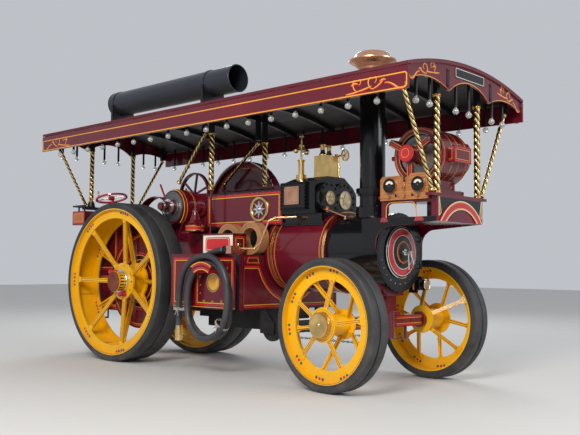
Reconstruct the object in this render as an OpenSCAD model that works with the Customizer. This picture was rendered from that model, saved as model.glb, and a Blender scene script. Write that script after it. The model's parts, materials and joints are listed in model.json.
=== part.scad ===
// Showman's road locomotive: a steam traction engine with a full-length canopy and a front dynamo.
// Millimetres, +X towards the smokebox, +Y to the engine's left, +Z up, ground at Z = 0.
// The origin is on the ground under the middle of the canopy. Stations along X in the modules are
// counted from the rear axle, and from_axle() puts them into the frame.

/* [Rear wheels] */
// Outside diameter over the rubber
rear_wheel_d = 2134; // [2060:1:2160]
// Width of the rubber tread
rear_wheel_w = 425; // [380:1:430]
// Distance of the wheel's outer face from the centre line
rear_face_y = 950; // [945:1:1000]
// Thickness of the rubber
rear_rubber_t = 82; // [60:1:100]
// Spokes in each of the two rows
rear_spokes = 7; // [6:1:9]
// Radius of the hub's spoke flanges
rear_hub_r = 250; // [220:1:280]
// Radius of the rear axle
rear_axle_r = 85; // [70:1:95]

/* [Front wheels] */
// Outside diameter over the rubber
front_wheel_d = 1380; // [1300:1:1400]
// Width of the rubber tread
front_wheel_w = 232; // [200:1:240]
// Distance of the wheel's outer face from the centre line
front_face_y = 985; // [975:1:1010]
// Thickness of the rubber
front_rubber_t = 85; // [60:1:100]
// Spokes in each wheel
front_spokes = 10; // [8:2:12]
// Radius of the hub's outer flange
front_hub_r = 178; // [160:1:190]
// Radius of the front axle's journals
front_axle_r = 55; // [45:1:65]
// Distance between the rear and front axles
wheelbase = 3840; // [3820:1:3900]
// Turn of the front axle as it stands, positive to the left
steer_rest = -4; // [-6:0.5:6]

/* [Boiler] */
// Height of the boiler's centre line
boiler_z = 1450; // [1440:1:1470]
// Radius over the barrel's cladding
barrel_r = 465; // [440:1:475]
// Radius of the smokebox
smokebox_r = 430; // [415:1:435]
// Thickness of the smokebox plate
smokebox_t = 14; // [8:1:20]
// Width of the polished bands round the barrel
band_w = 34; // [20:1:50]
// Radius of the smokebox door
door_r = 288; // [270:1:290]
// Radius of the chimney
chimney_r = 145; // [120:1:160]
// Height of the copper cap's top
chimney_top_z = 3720; // [3640:1:3800]

/* [Canopy] */
// Length of the canopy
canopy_len = 6436; // [6300:1:6600]
// Width of the canopy
canopy_w = 2310; // [2200:1:2400]
// Height of the side boards' lower edge
fascia_z = 2941; // [2920:1:2980]
// Depth of the side boards
fascia_h = 256; // [220:1:280]
// Rise of the roof's arch
roof_rise = 165; // [140:1:200]
// Thickness of the roof
roof_t = 32; // [24:1:40]
// Thickness of the boards
board_t = 22; // [16:1:30]
// Radius of the twisted pillars
pillar_r = 36; // [28:1:40]
// Radius of the twisted stays
stay_r = 24; // [18:1:28]
// Length of one turn of the pillars' twist
twist_pitch = 290; // [240:1:400]

/* [Tanks] */
// Half width over the side tanks
tank_half_w = 870; // [830:1:880]
// Height of the side tanks' top
tank_top_z = 1420; // [1400:1:1440]
// Height of the side tanks' bottom
tank_bottom_z = 770; // [740:1:800]
// Half width of the tender between the rear wheels
tender_half_w = 470; // [440:1:480]
// Plate thickness of the tender's bunker
tender_t = 14; // [8:1:20]
// Length of the toolbox
toolbox_len = 530; // [460:1:560]
// Wall of the toolbox
toolbox_t = 14; // [10:1:18]
// Diameter of the suction hose
hose_d = 75; // [65:1:80]

/* [Engine work] */
// Radius of the flywheel
flywheel_r = 700; // [640:1:705]
// Width of the flywheel's rim
flywheel_w = 130; // [110:1:132]
// Radius of the crankshaft
crank_r = 55; // [45:1:65]
// Radius of the dynamo's frame
dynamo_r = 300; // [270:1:310]
// Radius of the dynamo's pulley
pulley_r = 150; // [120:1:160]

/* [Hidden] */
$fn = 72;

axle_x = -1715;                         // rear axle in the frame
rear_r = rear_wheel_d / 2;
front_r = front_wheel_d / 2;
gap = 0.3;                              // running gap of faces that meet
fit = 0.05;                             // radial clearance of a running fit

front_shift = wheelbase - 3840;         // shift of all that goes with the front axle

// Stations from the rear axle, those of the front end before front_shift
barrel_x0 = 2420;                       // rear of the visible barrel
barrel_x1 = 3350;                       // front of the cladding
smokebox_x1 = 4050;                     // front of the smokebox
chimney_x = 3670;
firebox_x0 = 1150;
firebox_half_w = 355;
tank_x0 = 1190;
tank_x1 = 2430;
crank_x = 1128;
crank_z = 2040;
second_x = 700;                         // second motion shaft
second_z = 2070;
cyl_x0 = 2610;
cyl_x1 = 3140;
cyl_half_w = 385;
motion_half_w = 358;
motion_x0 = 1260;
motion_top_z = 2200;
dynamo_x = 4450;
dynamo_z = 2450;
platform_x1 = 4800;
platform_half_w = 430;
platform_z = 2030;                      // top of the dynamo platform
shelf_z = 1750;                         // underside of its lower shelf
front_post_x = 4765 + front_shift;
front_post_y = 400;
mid_post_x = 1475;                      // right middle pillar, outside the motion cover
mid_post_y = -480;
left_post_x = 1640;                     // left middle pillar, between the cover and the flywheel
left_post_y = 322;
rail_z = 2345;                          // rail that carries it
rear_post_x = -1380;
rear_post_y = 380;
post_top_z = 3030;
canopy_x0 = -canopy_len / 2 - axle_x;   // canopy ends, counted from the rear axle
canopy_x1 = canopy_len / 2 - axle_x;
eave_rail_t = 34;                       // rail behind each side board

half_w = canopy_w / 2;
eave_z = fascia_z + fascia_h;
roof_R = (half_w * half_w + roof_rise * roof_rise) / (2 * roof_rise);
roof_c = eave_z + roof_rise - roof_R;   // height of the roof arc's centre
function roof_z(y) = roof_c + sqrt(roof_R * roof_R - y * y);
function under_z(y) = roof_c + sqrt(pow(roof_R - roof_t, 2) - y * y);   // the roof's underside

// Placing helpers: from the rear axle, and from the front end, which goes with the front axle
module from_axle() { translate([axle_x, 0, 0]) children(); }
module from_front() { translate([axle_x + front_shift, 0, 0]) children(); }
module both_sides() { children(); mirror([0, 1, 0]) children(); }
module xcyl(r, x0, x1, y = 0, z = 0, $fn = $fn) {
    translate([x0, y, z]) rotate([0, 90, 0]) cylinder(r = r, h = x1 - x0);
}
module ycyl(r, y0, y1, x = 0, z = 0) {
    translate([x, y0, z]) rotate([-90, 0, 0]) cylinder(r = r, h = y1 - y0);
}
module zcyl(r, z0, z1, x = 0, y = 0) {
    translate([x, y, z0]) cylinder(r = r, h = z1 - z0);
}
module zcone(r0, r1, z0, z1, x = 0, y = 0) {
    translate([x, y, z0]) cylinder(r1 = r0, r2 = r1, h = z1 - z0);
}
module block(x0, x1, y0, y1, z0, z1) {
    translate([x0, y0, z0]) cube([x1 - x0, y1 - y0, z1 - z0]);
}
// An outline of (x, z) points, as thick as y0 to y1
module side_plate(y0, y1) {
    translate([0, y1, 0]) rotate([90, 0, 0]) linear_extrude(height = y1 - y0) children();
}
// An outline of (y, z) points, from x0 to x1
module cross_plate(x0, x1) {
    translate([x0, 0, 0]) rotate([90, 0, 90]) linear_extrude(height = x1 - x0) children();
}
// A round rod from a to b
module rod(a, b, r) {
    d = b - a;
    l = norm(d);
    translate(a) rotate([0, acos(d[2] / l), atan2(d[1], d[0])]) cylinder(r = r, h = l);
}
// A ring about Z: inner and outer radius, lower and upper height
module ring(r0, r1, z0, z1) { translate([0, 0, z0]) difference() {
    cylinder(r = r1, h = z1 - z0);
    translate([0, 0, -1]) cylinder(r = r0, h = z1 - z0 + 2);
} }

// Boiler

module boiler_barrel() color("#6d0f1c") from_axle() {
    xcyl(barrel_r, barrel_x0, barrel_x1 + front_shift, 0, boiler_z);
}

module barrel_bands() color("#b9924a") from_axle() {
    for (x = [barrel_x0 + 100, barrel_x1 + front_shift - band_w])
        translate([x, 0, boiler_z]) rotate([0, 90, 0]) ring(barrel_r, barrel_r + 6, 0, band_w);
}

module firebox_shell() color("#2a2022") from_axle() {
    // round-topped outer firebox down to the ashpan
    cross_plate(firebox_x0, barrel_x0) {
        translate([0, boiler_z]) circle(r = firebox_half_w);
        translate([-firebox_half_w, 640]) square([2 * firebox_half_w, boiler_z - 640]);
    }
    block(1260, 2300, -300, 300, 520, 640);
    // firehole ring and door on the backhead
    xcyl(150, firebox_x0 - 30, firebox_x0, 0, 1330);
    block(firebox_x0 - 44, firebox_x0 - 30, -130, 130, 1210, 1450);
}

module smokebox() color("#15161a") from_front() {
    difference() {
        union() {
            xcyl(smokebox_r, barrel_x1, smokebox_x1, 0, boiler_z);
            zcyl(chimney_r + 45, boiler_z + smokebox_r - 60, boiler_z + smokebox_r + 45, chimney_x);
        }
        xcyl(smokebox_r - smokebox_t, barrel_x1 + 60, smokebox_x1 - smokebox_t, 0, boiler_z);
        xcyl(door_r - 25, smokebox_x1 - 2 * smokebox_t, smokebox_x1 + 1, 0, boiler_z);
        zcyl(chimney_r - 12, boiler_z + 200, boiler_z + smokebox_r + 46, chimney_x);
    }
}

module chimney() color("#101114") from_front() {
    z0 = boiler_z + smokebox_r + 45;
    translate([chimney_x, 0, 0]) {
        ring(chimney_r - 12, chimney_r, z0, chimney_top_z - 200);
        ring(chimney_r - 12, chimney_r + 45, z0, z0 + 28);
        ring(chimney_r - 12, chimney_r + 22, z0 + 160, z0 + 185);
        ring(chimney_r - 12, chimney_r + 40, z0 + 185, z0 + 235);
    }
}

module chimney_cap() color("#b98a62") from_front() {
    z0 = chimney_top_z - 200;
    translate([chimney_x, 0, z0]) rotate_extrude() polygon([
        [chimney_r - 12, 0], [chimney_r + 16, 0], [chimney_r + 22, 24], [chimney_r + 58, 62],
        [chimney_r + 108, 92], [chimney_r + 126, 104], [chimney_r + 126, 116], [chimney_r + 96, 128],
        [chimney_r + 62, 156], [chimney_r + 48, 186], [chimney_r + 30, 200], [chimney_r + 14, 200],
        [chimney_r + 8, 150], [chimney_r - 12, 90]]);
}

// Cylinders and motion

// Body with a humped top
module cylinder_body() {
    h = cyl_half_w;
    cross_plate(cyl_x0, cyl_x1) polygon([[-h, 1900], [h, 1900], [h, 2150], [h - 60, 2225],
        [150, 2340], [-150, 2340], [-h + 70, 2280], [-h, 2270]]);
}

module cylinder_block() color("#1d1e22") from_front() {
    h = cyl_half_w;
    difference() {
        union() {
            cylinder_body();
            block(cyl_x0, cyl_x1 + 60, -330, 330, 1790, 1900);
            // saddle flange
            block(cyl_x0, cyl_x1 + 110, -360, 360, 1760, 1800);
            // front cylinder covers
            xcyl(185, cyl_x1, cyl_x1 + 55, -185, 2080);
            xcyl(205, cyl_x1, cyl_x1 + 40, 110, 2070);
            // valve chest cover on the near side, and its twin
            both_sides() block(cyl_x0 + 25, cyl_x0 + 415, -h - 34, -h, 1945, 2265);
        }
        xcyl(barrel_r + gap, cyl_x0 - 60, barrel_x1 + 1, 0, boiler_z);
    }
}

module cylinder_covers() color("#d8d4c8") from_front() {
    // polished covers with five-pointed stars, and the copper plates
    for (c = [[-185, 2080, 70, 55], [110, 2070, 100, 40]]) {
        xcyl(c[2], cyl_x1 + c[3], cyl_x1 + c[3] + 10, c[0], c[1]);
        translate([cyl_x1 + c[3] + 10, c[0], c[1]]) rotate([90, 0, 90]) linear_extrude(height = 12)
            star(c[2] * 0.85, 5);
    }
    block(cyl_x0 + 95, cyl_x0 + 325, -cyl_half_w - 42, -cyl_half_w - 34, 2005, 2215);
}

module star(r, n) {
    polygon([for (i = [0 : 2 * n - 1]) let (a = 90 + i * 180 / n, q = i % 2 == 0 ? r : r * 0.38)
        [q * cos(a), q * sin(a)]]);
}

module cylinder_fittings() color("#b58a3c") from_front() difference() { union() {
    // safety valve pedestal with two bell-mouthed valves
    block(2890, 3070, -110, 110, 2339, 2600);
    for (y = [-58, 58]) translate([2980, y, 2600]) rotate_extrude()
        polygon([[0, 0], [44, 0], [44, 18], [30, 40], [24, 70], [30, 110], [38, 124], [38, 132], [0, 132]]);
    // governor: stand, spindle, two balls on arms, cap
    translate([2740, -170, 0]) {
        zcyl(62, 2275, 2380);
        zcyl(36, 2380, 2540);
        zcyl(46, 2540, 2560);
        zcyl(12, 2560, 2860);
        zcyl(34, 2720, 2740);
        zcyl(30, 2840, 2856);
        for (s = [-1, 1]) {
            rod([0, 0, 2735], [0, s * 90, 2668], 8);
            translate([0, s * 95, 2665]) rotate([0, 0, 30]) sphere(r = 34);
        }
    }
    // whistle and stop valve with its handwheel
    translate([3010, 175, 0]) {
        zcyl(52, 2275, 2370);
        zcyl(34, 2370, 2470);
        zcyl(44, 2470, 2490);
        zcyl(30, 2490, 2640);
        xcyl(10, 0, 120, 0, 2620);
        xcyl(16, 116, 137, 0, 2620);
        translate([120, 0, 2620]) rotate([0, 90, 0]) {
            ring(56, 72, 0, 14);
            for (a = [20, 80, 140]) rotate([0, 0, a]) translate([-60, -5, 2]) cube([120, 10, 10]);
        }
    }
    // displacement lubricator
    translate([2860, 260, 0]) {
        zcyl(26, 2225, 2330);
        zcyl(44, 2330, 2460);
        zcyl(18, 2460, 2490);
    }
    }
    cylinder_body();
}

module motion_covers() color("#6d0f1c") from_axle() {
    // side sheets, top sheet and rear frame of the covered motion
    x1 = cyl_x0 + front_shift;
    both_sides() block(motion_x0, x1, -motion_half_w, -motion_half_w + 8, 1780, motion_top_z);
    block(motion_x0 + 480, x1, -motion_half_w + 8, motion_half_w - 8, motion_top_z - 8, motion_top_z);
    block(motion_x0 + 480, motion_x0 + 492, -motion_half_w + 8, motion_half_w - 8, 1830, motion_top_z - 8);
    // rail on the left side that carries the left middle pillar and its stay
    block(820, x1, left_post_y - 20, left_post_y + 20, rail_z - 24, rail_z);
    block(x1 - 40, x1, left_post_y - 20, motion_half_w, motion_top_z, rail_z - 24);
    block(820, 860, left_post_y - 20, left_post_y + 20, rail_z, 2420.3);
    // framed edge and the raised star in its ring on the near side
    translate([x1 - 380, -motion_half_w, 1980]) rotate([90, 0, 0]) {
        ring(122, 150, 0, 16);
        linear_extrude(height = 12) star(108, 8);
    }
}

module hornplates() color("#5c0d18") from_axle() {
    // plates from the rear axle to the firebox, with the crank brackets on top
    both_sides() {
        side_plate(-firebox_half_w - 18, -firebox_half_w) difference() {
            polygon([[-329, 820], [300, 700], [1250, 700], [1250, 1780], [900, 1780], [200, 1560],
                [-329, 1400]]);
            translate([0, rear_r]) circle(r = rear_axle_r);
        }
        side_plate(-318, -298) difference() {
            polygon([[420, 1560], [1140, 1560], [1140, 1650], [1258, 1650], [1258, 2180], [1220, 2240],
                [1010, 2240], [960, 2190], [800, 2190], [770, 2200], [620, 2200], [560, 2150]]);
            translate([crank_x, crank_z]) circle(r = crank_r + 12);
            translate([second_x, second_z]) circle(r = 50 + gap);
        }
        // joggle between the two plates
        block(420, 1140, -firebox_half_w, -298, 1560, 1600);
        // crank bearing
        translate([crank_x, -318, crank_z]) rotate([90, 0, 0]) ring(crank_r + fit, 112, -20, 40);
    }
}

guard_x = 800;
guard_z = 2040;
guard_r = 260;
// Two discs with their common tangents: the lower at (0, z0), the upper at c
module pear(z0, r0, c, r1) {
    d = sqrt(c[0] * c[0] + pow(c[1] - z0, 2));
    a = atan2(c[1] - z0, c[0]);
    b = acos((r0 - r1) / d);
    translate([0, z0]) circle(r = r0);
    translate(c) circle(r = r1);
    polygon([[r0 * cos(a - b), z0 + r0 * sin(a - b)], [c[0] + r1 * cos(a - b), c[1] + r1 * sin(a - b)],
        [c[0] + r1 * cos(a + b), c[1] + r1 * sin(a + b)], [r0 * cos(a + b), z0 + r0 * sin(a + b)]]);
}

module gear_guards() color("#6d0f1c") from_axle() {
    // round guard in front of the second shaft's gear, with its skirt down to the hornplate
    translate([guard_x, -358.3, guard_z]) rotate([90, 0, 0]) difference() {
        ring(guard_r - 12, guard_r, 0, 202);
        translate([-300, -300, -1]) cube([300, 600, 300]);
        rotate([0, 0, -50]) translate([-300, -300, -1]) cube([700, 300, 300]);
    }
    side_plate(-512, -373.3) polygon([[guard_x + 152, guard_z - 182], [guard_x + 168, guard_z - 198],
        [guard_x + 112, guard_z - 290], [guard_x + 92, guard_z - 440], [guard_x + 80, guard_z - 440],
        [guard_x + 100, guard_z - 286]]);
    // pear-shaped gear cover round the axle, and the splasher behind the guard
    side_plate(-tender_half_w - 11.7, -tender_half_w - 1) difference() {
        pear(rear_r, 650, [420, 1730], 160);
        translate([0, rear_r]) circle(r = rear_axle_r + gap);
    }
    translate([330, -380, 1800]) rotate([90, 0, 0]) intersection() {
        ring(418, 430, 0, 128);
        translate([-330, 150, 0]) cube([560, 400, 200]);
    }
    block(316, 344, -380, -318.3, 2200, 2224);
    // spoked pulley between the brackets
    translate([690, -60, 2262]) rotate([90, 0, 0]) {
        ring(280, 305, 0, 50);
        cylinder(r = 45, h = 50);
        for (i = [0 : 5]) rotate([0, 0, i * 60 + 20]) translate([30, -12, 13]) cube([260, 24, 24]);
    }
    ycyl(25, -300, 300, 690, 2262);
    // second motion shaft with its gear and end
    ycyl(50, -690, 340, second_x, second_z);
    ycyl(225, -480, -400, second_x, second_z);
    ycyl(100, -560, -480, second_x, second_z);
    ycyl(70, -650, -560, second_x, second_z);
}

// Bell-shaped oil can on its shelf beside the motion
module oil_can() color("#6d0f1c") from_axle() {
    block(1085, 1245, -640, -373.3, 1700, 1722);
    translate([1200, -500, 1722]) rotate_extrude() polygon([[0, 0], [122, 0], [126, 12],
        [126, 76], [118, 88], [96, 112], [70, 160], [50, 220], [40, 262], [46, 268],
        [46, 282], [26, 290], [22, 306], [0, 308]]);
}

// Tanks and tender

module side_tanks() color("#6d0f1c") from_axle() {
    h = tank_half_w;
    // one tank each side of the firebox and under the barrel, cut to the boiler's curve
    difference() {
        union() {
            both_sides() block(tank_x0, tank_x1, -h, -firebox_half_w - 18.3, tank_bottom_z, tank_top_z);
            block(tank_x1 - 100, tank_x1, -h, h, tank_bottom_z, tank_top_z);
        }
        xcyl(barrel_r + 12, tank_x0 - 1, tank_x1 + 1, 0, boiler_z);
        block(tank_x0 - 1, barrel_x0 + gap, -firebox_half_w - 18.3, firebox_half_w + 18.3, 600, 1600);
        // well for the flywheel on the left
        block(tank_x0 - 1, 1660, firebox_half_w, 535, crank_z - flywheel_r - 25, 1500);
    }
    // corner angles, foot angles and the shelf on top
    both_sides() {
        block(tank_x1, tank_x1 + 8, -h, -h + 60, tank_bottom_z, tank_top_z);
        block(tank_x1 - 60, tank_x1, -h - 8, -h, tank_bottom_z, tank_top_z);
        block(tank_x0, tank_x1 + 8, -h - 8, -h + 30, tank_top_z, tank_top_z + 10);
        block(tank_x0 + 60, tank_x0 + 180, -h + 60, -h + 200, tank_bottom_z - 120, tank_bottom_z);
    }
}

toolbox_x0 = 1760;
toolbox_y0 = 20 - tank_half_w;
toolbox_y1 = toolbox_y0 + 210;
toolbox_z0 = 1430;
toolbox_z1 = 1655;
module toolbox() color("#5c0d18") from_axle() {
    x1 = toolbox_x0 + toolbox_len;
    difference() {
        block(toolbox_x0, x1, toolbox_y0, toolbox_y1, toolbox_z0, toolbox_z1);
        block(toolbox_x0 + toolbox_t, x1 - toolbox_t, toolbox_y0 + toolbox_t, toolbox_y1 - toolbox_t,
            toolbox_z0 + toolbox_t, toolbox_z1 + 1);
    }
}

lid_hinge_y = toolbox_y1 + 8;
lid_hinge_z = toolbox_z1 + 8;
module toolbox_lid() color("#3a0a12") from_axle() {
    x1 = toolbox_x0 + toolbox_len;
    block(toolbox_x0 - 8, x1 + 8, toolbox_y0 - 10, toolbox_y1, toolbox_z1 + gap, toolbox_z1 + 14);
    for (x = [toolbox_x0 + 70, x1 - 110]) xcyl(7, x, x + 40, lid_hinge_y - 1, lid_hinge_z);
}

module belt_coils() color("#b98850") from_axle() {
    for (c = [[1922, 190], [2310, 195]])
        translate([c[0], 400 - tank_half_w, tank_top_z + gap + c[1]]) rotate([90, 0, 0])
            ring(c[1] - 70, c[1], 0, 130);
}

module tender() color("#5c0d18") from_axle() {
    h = tender_half_w;
    t = tender_t;
    // water tank below, coal bunker with its wide top above, and the footplate in front
    block(-1400, -330, -h, h, 640, 1180);
    difference() {
        union() {
            block(-1400, -520, -h, h, 1180, 1880);
            block(-1440, -1120, -660, 660, 1880, 2085);
        }
        block(-1400 + t, -520 - t, -h + t, h - t, 1180 + t, 1895);
        block(-1440 + t, -1120 - t, -660 + t, 660 - t, 1880 + t, 2086);
    }
    block(-330, tank_x0 - 60, -298, 298, 1165, 1180);
    // side sheets of the footplate
    both_sides() side_plate(-h, -h + t)
        polygon([[-520, 1180], [-330, 1180], [-330, 1600], [-420, 1880], [-520, 1880]]);
}

module tender_fittings() color("#1b1b1e") from_axle() {
    // coal rail, drawbar, footsteps and the brackets under the rear pillars
    z = 2150;                           // height of the coal rail
    block(-1440, -1416, -660, 660, z, z + 24);
    both_sides() block(-1440, -1120, -660, -636, z, z + 24);
    for (y = [-560, -200, 200, 560]) block(-1438, -1420, y - 9, y + 9, 2085, 2150);
    both_sides() {
        block(-1150, -1130, -657, -639, 2085, 2150);
        translate([rear_post_x, -rear_post_y, 0]) {
            zcone(60, 46, 2174, 2240);
        }
        block(rear_post_x - 40, rear_post_x + 40, -500, -rear_post_y + 50, 2150, 2174);
    }
    block(rear_post_x - 60, rear_post_x + 40, -500, 500, 2126, 2150);
    // drawbar bracket with its jaw and hole
    difference() {
        union() {
            block(-1500, -1400, -150, 150, 690, 860);
            block(-1500, -1500 + 100, -60, 60, 640, 690);
        }
        block(-1510, -1430, -90, 90, 740, 800);
        zcyl(22, 600, 900, -1462, 0);
    }
    both_sides() {
        block(-900, -720, -tender_half_w - 38, -tender_half_w - gap, 520, 540);
        for (x = [-900, -740]) block(x, x + 20, -tender_half_w - 14, -tender_half_w - gap, 540, 700);
    }
}

module rear_axle() color("#35302e") from_axle() {
    // axle between the wheels, with a collar outside each hornplate
    ycyl(rear_axle_r, -rear_face_y + 85, rear_face_y - 85, 0, rear_r);
    both_sides() ycyl(rear_axle_r + 55, -500, -482, 0, rear_r);
}

module steering_gear() color("#2b2b2e") from_axle() {
    // chain barrel under the barrel with its worm wheel, the column and the handwheel
    ycyl(75, -430, 430, 2560, 560);
    ycyl(25, -470, 470, 2560, 560);
    ycyl(150, -470, -435, 2560, 560);
    both_sides() side_plate(-500, -480)
        polygon([[2400, 770], [2400, 500], [2620, 500], [2620, 620], [2480, 770]]);
    both_sides() ycyl(40, -480, -470, 2560, 560);
}

wheel_at = [-775, -430, 2268];
module controls() color("#8f1018") from_axle() {
    // steering handwheel on its column, reversing and regulator levers, water gauge stand
    rod([-130, -430, 1400], wheel_at, 20);
    translate(wheel_at) rotate([0, -14, 0]) {
        ring(205, 232, -10, 12);
        zcyl(46, -20, 20);
        for (q = [0 : 3]) rotate([0, 0, 45 + q * 90]) translate([30, -10, -5]) cube([185, 20, 12]);
        translate([0, -219, 0]) zcyl(11, 6, 90);
    }
    block(-360, -90, 14.3 - tender_half_w, -firebox_half_w - 18.3, 1340, 1420);
    rod([600, -250, 1640], [180, -280, 2420], 14);
    rod([640, 60, 1640], [330, 60, 2380], 14);
    block(560, 680, -297.7, 110, 1600.3, 1650);
}

module perch_bracket() color("#5c0d18") from_axle() {
    // saddle under the smokebox, the perch column and the two fore-and-aft plates
    difference() {
        cross_plate(wheelbase - 200, wheelbase + 130) polygon([[-260, 1200], [-260, 1070], [-170, 1000],
            [170, 1000], [260, 1070], [260, 1200]]);
        xcyl(smokebox_r + gap, wheelbase - 300, wheelbase + 200, 0, boiler_z, $fn = 360);
    }
    block(wheelbase - 180, wheelbase + 150, -150, 150, 975, 1000);
    difference() {
        block(wheelbase - 90, wheelbase + 90, -90, 90, 800, 975);
        zcyl(34 + fit, 700, 960, wheelbase);
    }
}

// Front axle: everything that turns with it is drawn in the axle's own frame

module front_frame() { translate([axle_x + wheelbase, 0, 0]) rotate([0, 0, steer_rest]) children(); }

module front_axle() color("#5c0d18") front_frame() {
    z = front_r;
    // king pin, fork, beam and journals
    zcyl(34, 760, 950);
    block(-60, 60, -600, 600, z - 65, z + 65);
    zcyl(110, z - 180, z + 105);
    both_sides() {
        ycyl(front_axle_r, -front_face_y - 30, -600, 0, z);
        ycyl(90, -640, -600, 0, z);
        zcyl(17, 486, z - 64, 0, -364);
    }
    block(-90, 90, -160, 160, z + 65, 795);
}

// Wheels: drawn about Z with +Z outwards, then laid on the axle

module spoke_outline(r0, r1, w) { polygon([[r0, -w * 0.9], [r0 + 60, -w * 0.5], [r1 - 110, -w * 0.46],
    [r1 - 40, -w * 1.1], [r1, -w * 1.25], [r1, w * 1.25], [r1 - 40, w * 1.1], [r1 - 110, w * 0.46],
    [r0 + 60, w * 0.5], [r0, w * 0.9]]); }

module rear_wheel() {
    half = rear_wheel_w / 2;
    rim_r = rear_r - rear_rubber_t;
    web = half - 48;                    // middle of each tee ring from the wheel's centre plane
    out_z = 10;                         // spoke flanges of the hub, outer and inner
    in_z = -half - 2.5;
    difference() {
        union() {
            ring(rim_r - 20, rim_r, -half, half);
            for (s = [-1, 1]) {
                hub_z = s > 0 ? out_z : in_z;
                r0 = rear_hub_r - 60;
                r1 = rim_r - 60;
                tilt = atan2(s * web - hub_z, r1 - r0);
                ring(rim_r - 130, rim_r - 10, s * web - 8, s * web + 8);
                translate([0, 0, hub_z - 14]) cylinder(r = rear_hub_r, h = 28);
                for (i = [0 : rear_spokes - 1])
                    rotate([0, 0, (i + (s > 0 ? 0.25 : 0.75)) * 360 / rear_spokes + 12])
                        translate([r0, 0, hub_z]) rotate([0, -tilt, 0]) {
                            translate([0, 0, -10]) linear_extrude(height = 20)
                                spoke_outline(0, (r1 - r0) / cos(tilt), 58);
                            translate([10, -8, s > 0 ? -40 : 0]) cube([(r1 - r0) / cos(tilt) - 62, 16, 40]);
                        }
            }
            // hub barrel between the flanges, and the drum and cap outside them
            translate([0, 0, in_z - 17]) cylinder(r = 190, h = out_z - in_z + 17);
            translate([0, 0, out_z]) cylinder(r = 150, h = 40);
            translate([0, 0, out_z]) cylinder(r = 128, h = 145);
            translate([0, 0, out_z + 140]) cylinder(r = 140, h = 17);
        }
        // blind bore, closed by the cap over the axle's end
        translate([0, 0, in_z - 40]) cylinder(r = rear_axle_r + fit, h = out_z - in_z + 170);
    }
}

module rear_tyre() {
    half = rear_wheel_w / 2;
    rim_r = rear_r - rear_rubber_t;
    rotate_extrude() polygon([[rim_r + gap, -half], [rear_r - 18, -half], [rear_r, -half + 18],
        [rear_r, -22], [rear_r - 26, -16], [rear_r - 26, -6], [rear_r, 0],
        [rear_r, half - 18], [rear_r - 18, half], [rim_r + gap, half]]);
}

module front_wheel() {
    half = front_wheel_w / 2;
    rim_r = front_r - front_rubber_t;
    web = half - 70;
    out_z = half - 6;                   // outer hub flange
    in_z = -half - 85;                  // inner hub flange
    difference() {
        union() {
            ring(rim_r - 16, rim_r, -half, half);
            ring(rim_r - 140, rim_r - 8, web - 8, web + 8);
            ring(front_axle_r, 112, in_z, out_z);
            ring(front_axle_r, front_hub_r - 18, in_z - 12, in_z + 12);
            ring(front_axle_r, front_hub_r, out_z - 12, out_z + 12);
            for (i = [0 : front_spokes - 1]) {
                hub_z = i % 2 == 0 ? out_z : in_z;
                r0 = 110;
                r1 = rim_r - 70;
                tilt = atan2(web - hub_z, r1 - r0);
                rotate([0, 0, i * 360 / front_spokes + 8]) translate([r0, 0, hub_z]) rotate([0, -tilt, 0]) {
                    translate([0, 0, -7]) linear_extrude(height = 14)
                        spoke_outline(0, (r1 - r0) / cos(tilt), 46);
                    translate([30, -7, i % 2 == 0 ? -32 : 0]) cube([(r1 - r0) / cos(tilt) - 100, 14, 32]);
                }
            }
            ring(front_axle_r, 125, out_z + 12, half + 65);
        }
        translate([0, 0, in_z - 30]) cylinder(r = front_axle_r + fit, h = half + 70 - in_z);
    }
    translate([0, 0, half + 55]) cylinder(r = 125, h = 15);
}

module front_tyre() {
    half = front_wheel_w / 2;
    rim_r = front_r - front_rubber_t;
    rotate_extrude() polygon([[rim_r + gap, -half], [front_r - 20, -half], [front_r, -half + 20],
        [front_r, half - 20], [front_r - 20, half], [rim_r + gap, half]]);
}

module at_rear(side) { from_axle() translate([0, side * (rear_face_y - rear_wheel_w / 2), rear_r])
    rotate([side > 0 ? -90 : 90, 0, 0]) children(); }
module at_front(side) { front_frame() translate([0, side * (front_face_y - front_wheel_w / 2), front_r])
    rotate([side > 0 ? -90 : 90, 0, 0]) children(); }

module wheel_rear_right() color("#f0a800") at_rear(-1) rear_wheel();
module wheel_rear_left() color("#f0a800") at_rear(1) rear_wheel();
module tyre_rear_right() color("#3a3a3d") at_rear(-1) rear_tyre();
module tyre_rear_left() color("#3a3a3d") at_rear(1) rear_tyre();
module wheel_front_right() color("#f0a800") at_front(-1) front_wheel();
module wheel_front_left() color("#f0a800") at_front(1) front_wheel();
module tyre_front_right() color("#3a3a3d") at_front(-1) front_tyre();
module tyre_front_left() color("#3a3a3d") at_front(1) front_tyre();

module flywheel() color("#6d0f1c") from_axle() {
    // disc flywheel on the crankshaft, with the crank discs and the near-side gear wheel
    translate([crank_x, 0, crank_z]) rotate([-90, 0, 0]) {
        y0 = 385;
        ring(flywheel_r - 45, flywheel_r, y0, y0 + flywheel_w);
        ring(100, flywheel_r - 40, y0 + 55, y0 + 75);
        ring(crank_r - 5, 110, y0, y0 + flywheel_w);
        translate([0, 0, -400]) cylinder(r = crank_r, h = y0 + flywheel_w + 420);
        translate([0, 0, -250]) cylinder(r = 190, h = 40);
        translate([0, 0, 210]) cylinder(r = 190, h = 40);
    }
}

// Front details

door_hinge_y = 368;
door_hinge_x = smokebox_x1 + 16;
module smokebox_door() color("#15161a") from_front() {
    x0 = smokebox_x1 + gap;
    translate([x0, 0, boiler_z]) rotate([0, 90, 0]) rotate_extrude() polygon([[0, 0], [door_r, 0],
        [door_r, 14], [door_r - 10, 20], [door_r - 30, 22], [door_r - 110, 34], [36, 50], [0, 50]]);
    for (z = [-150, 150]) {
        block(x0, x0 + 16, 200, door_hinge_y, boiler_z + z - 20, boiler_z + z + 20);
        translate([door_hinge_x, door_hinge_y, boiler_z + z - 30]) cylinder(r = 14, h = 60);
    }
}

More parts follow.
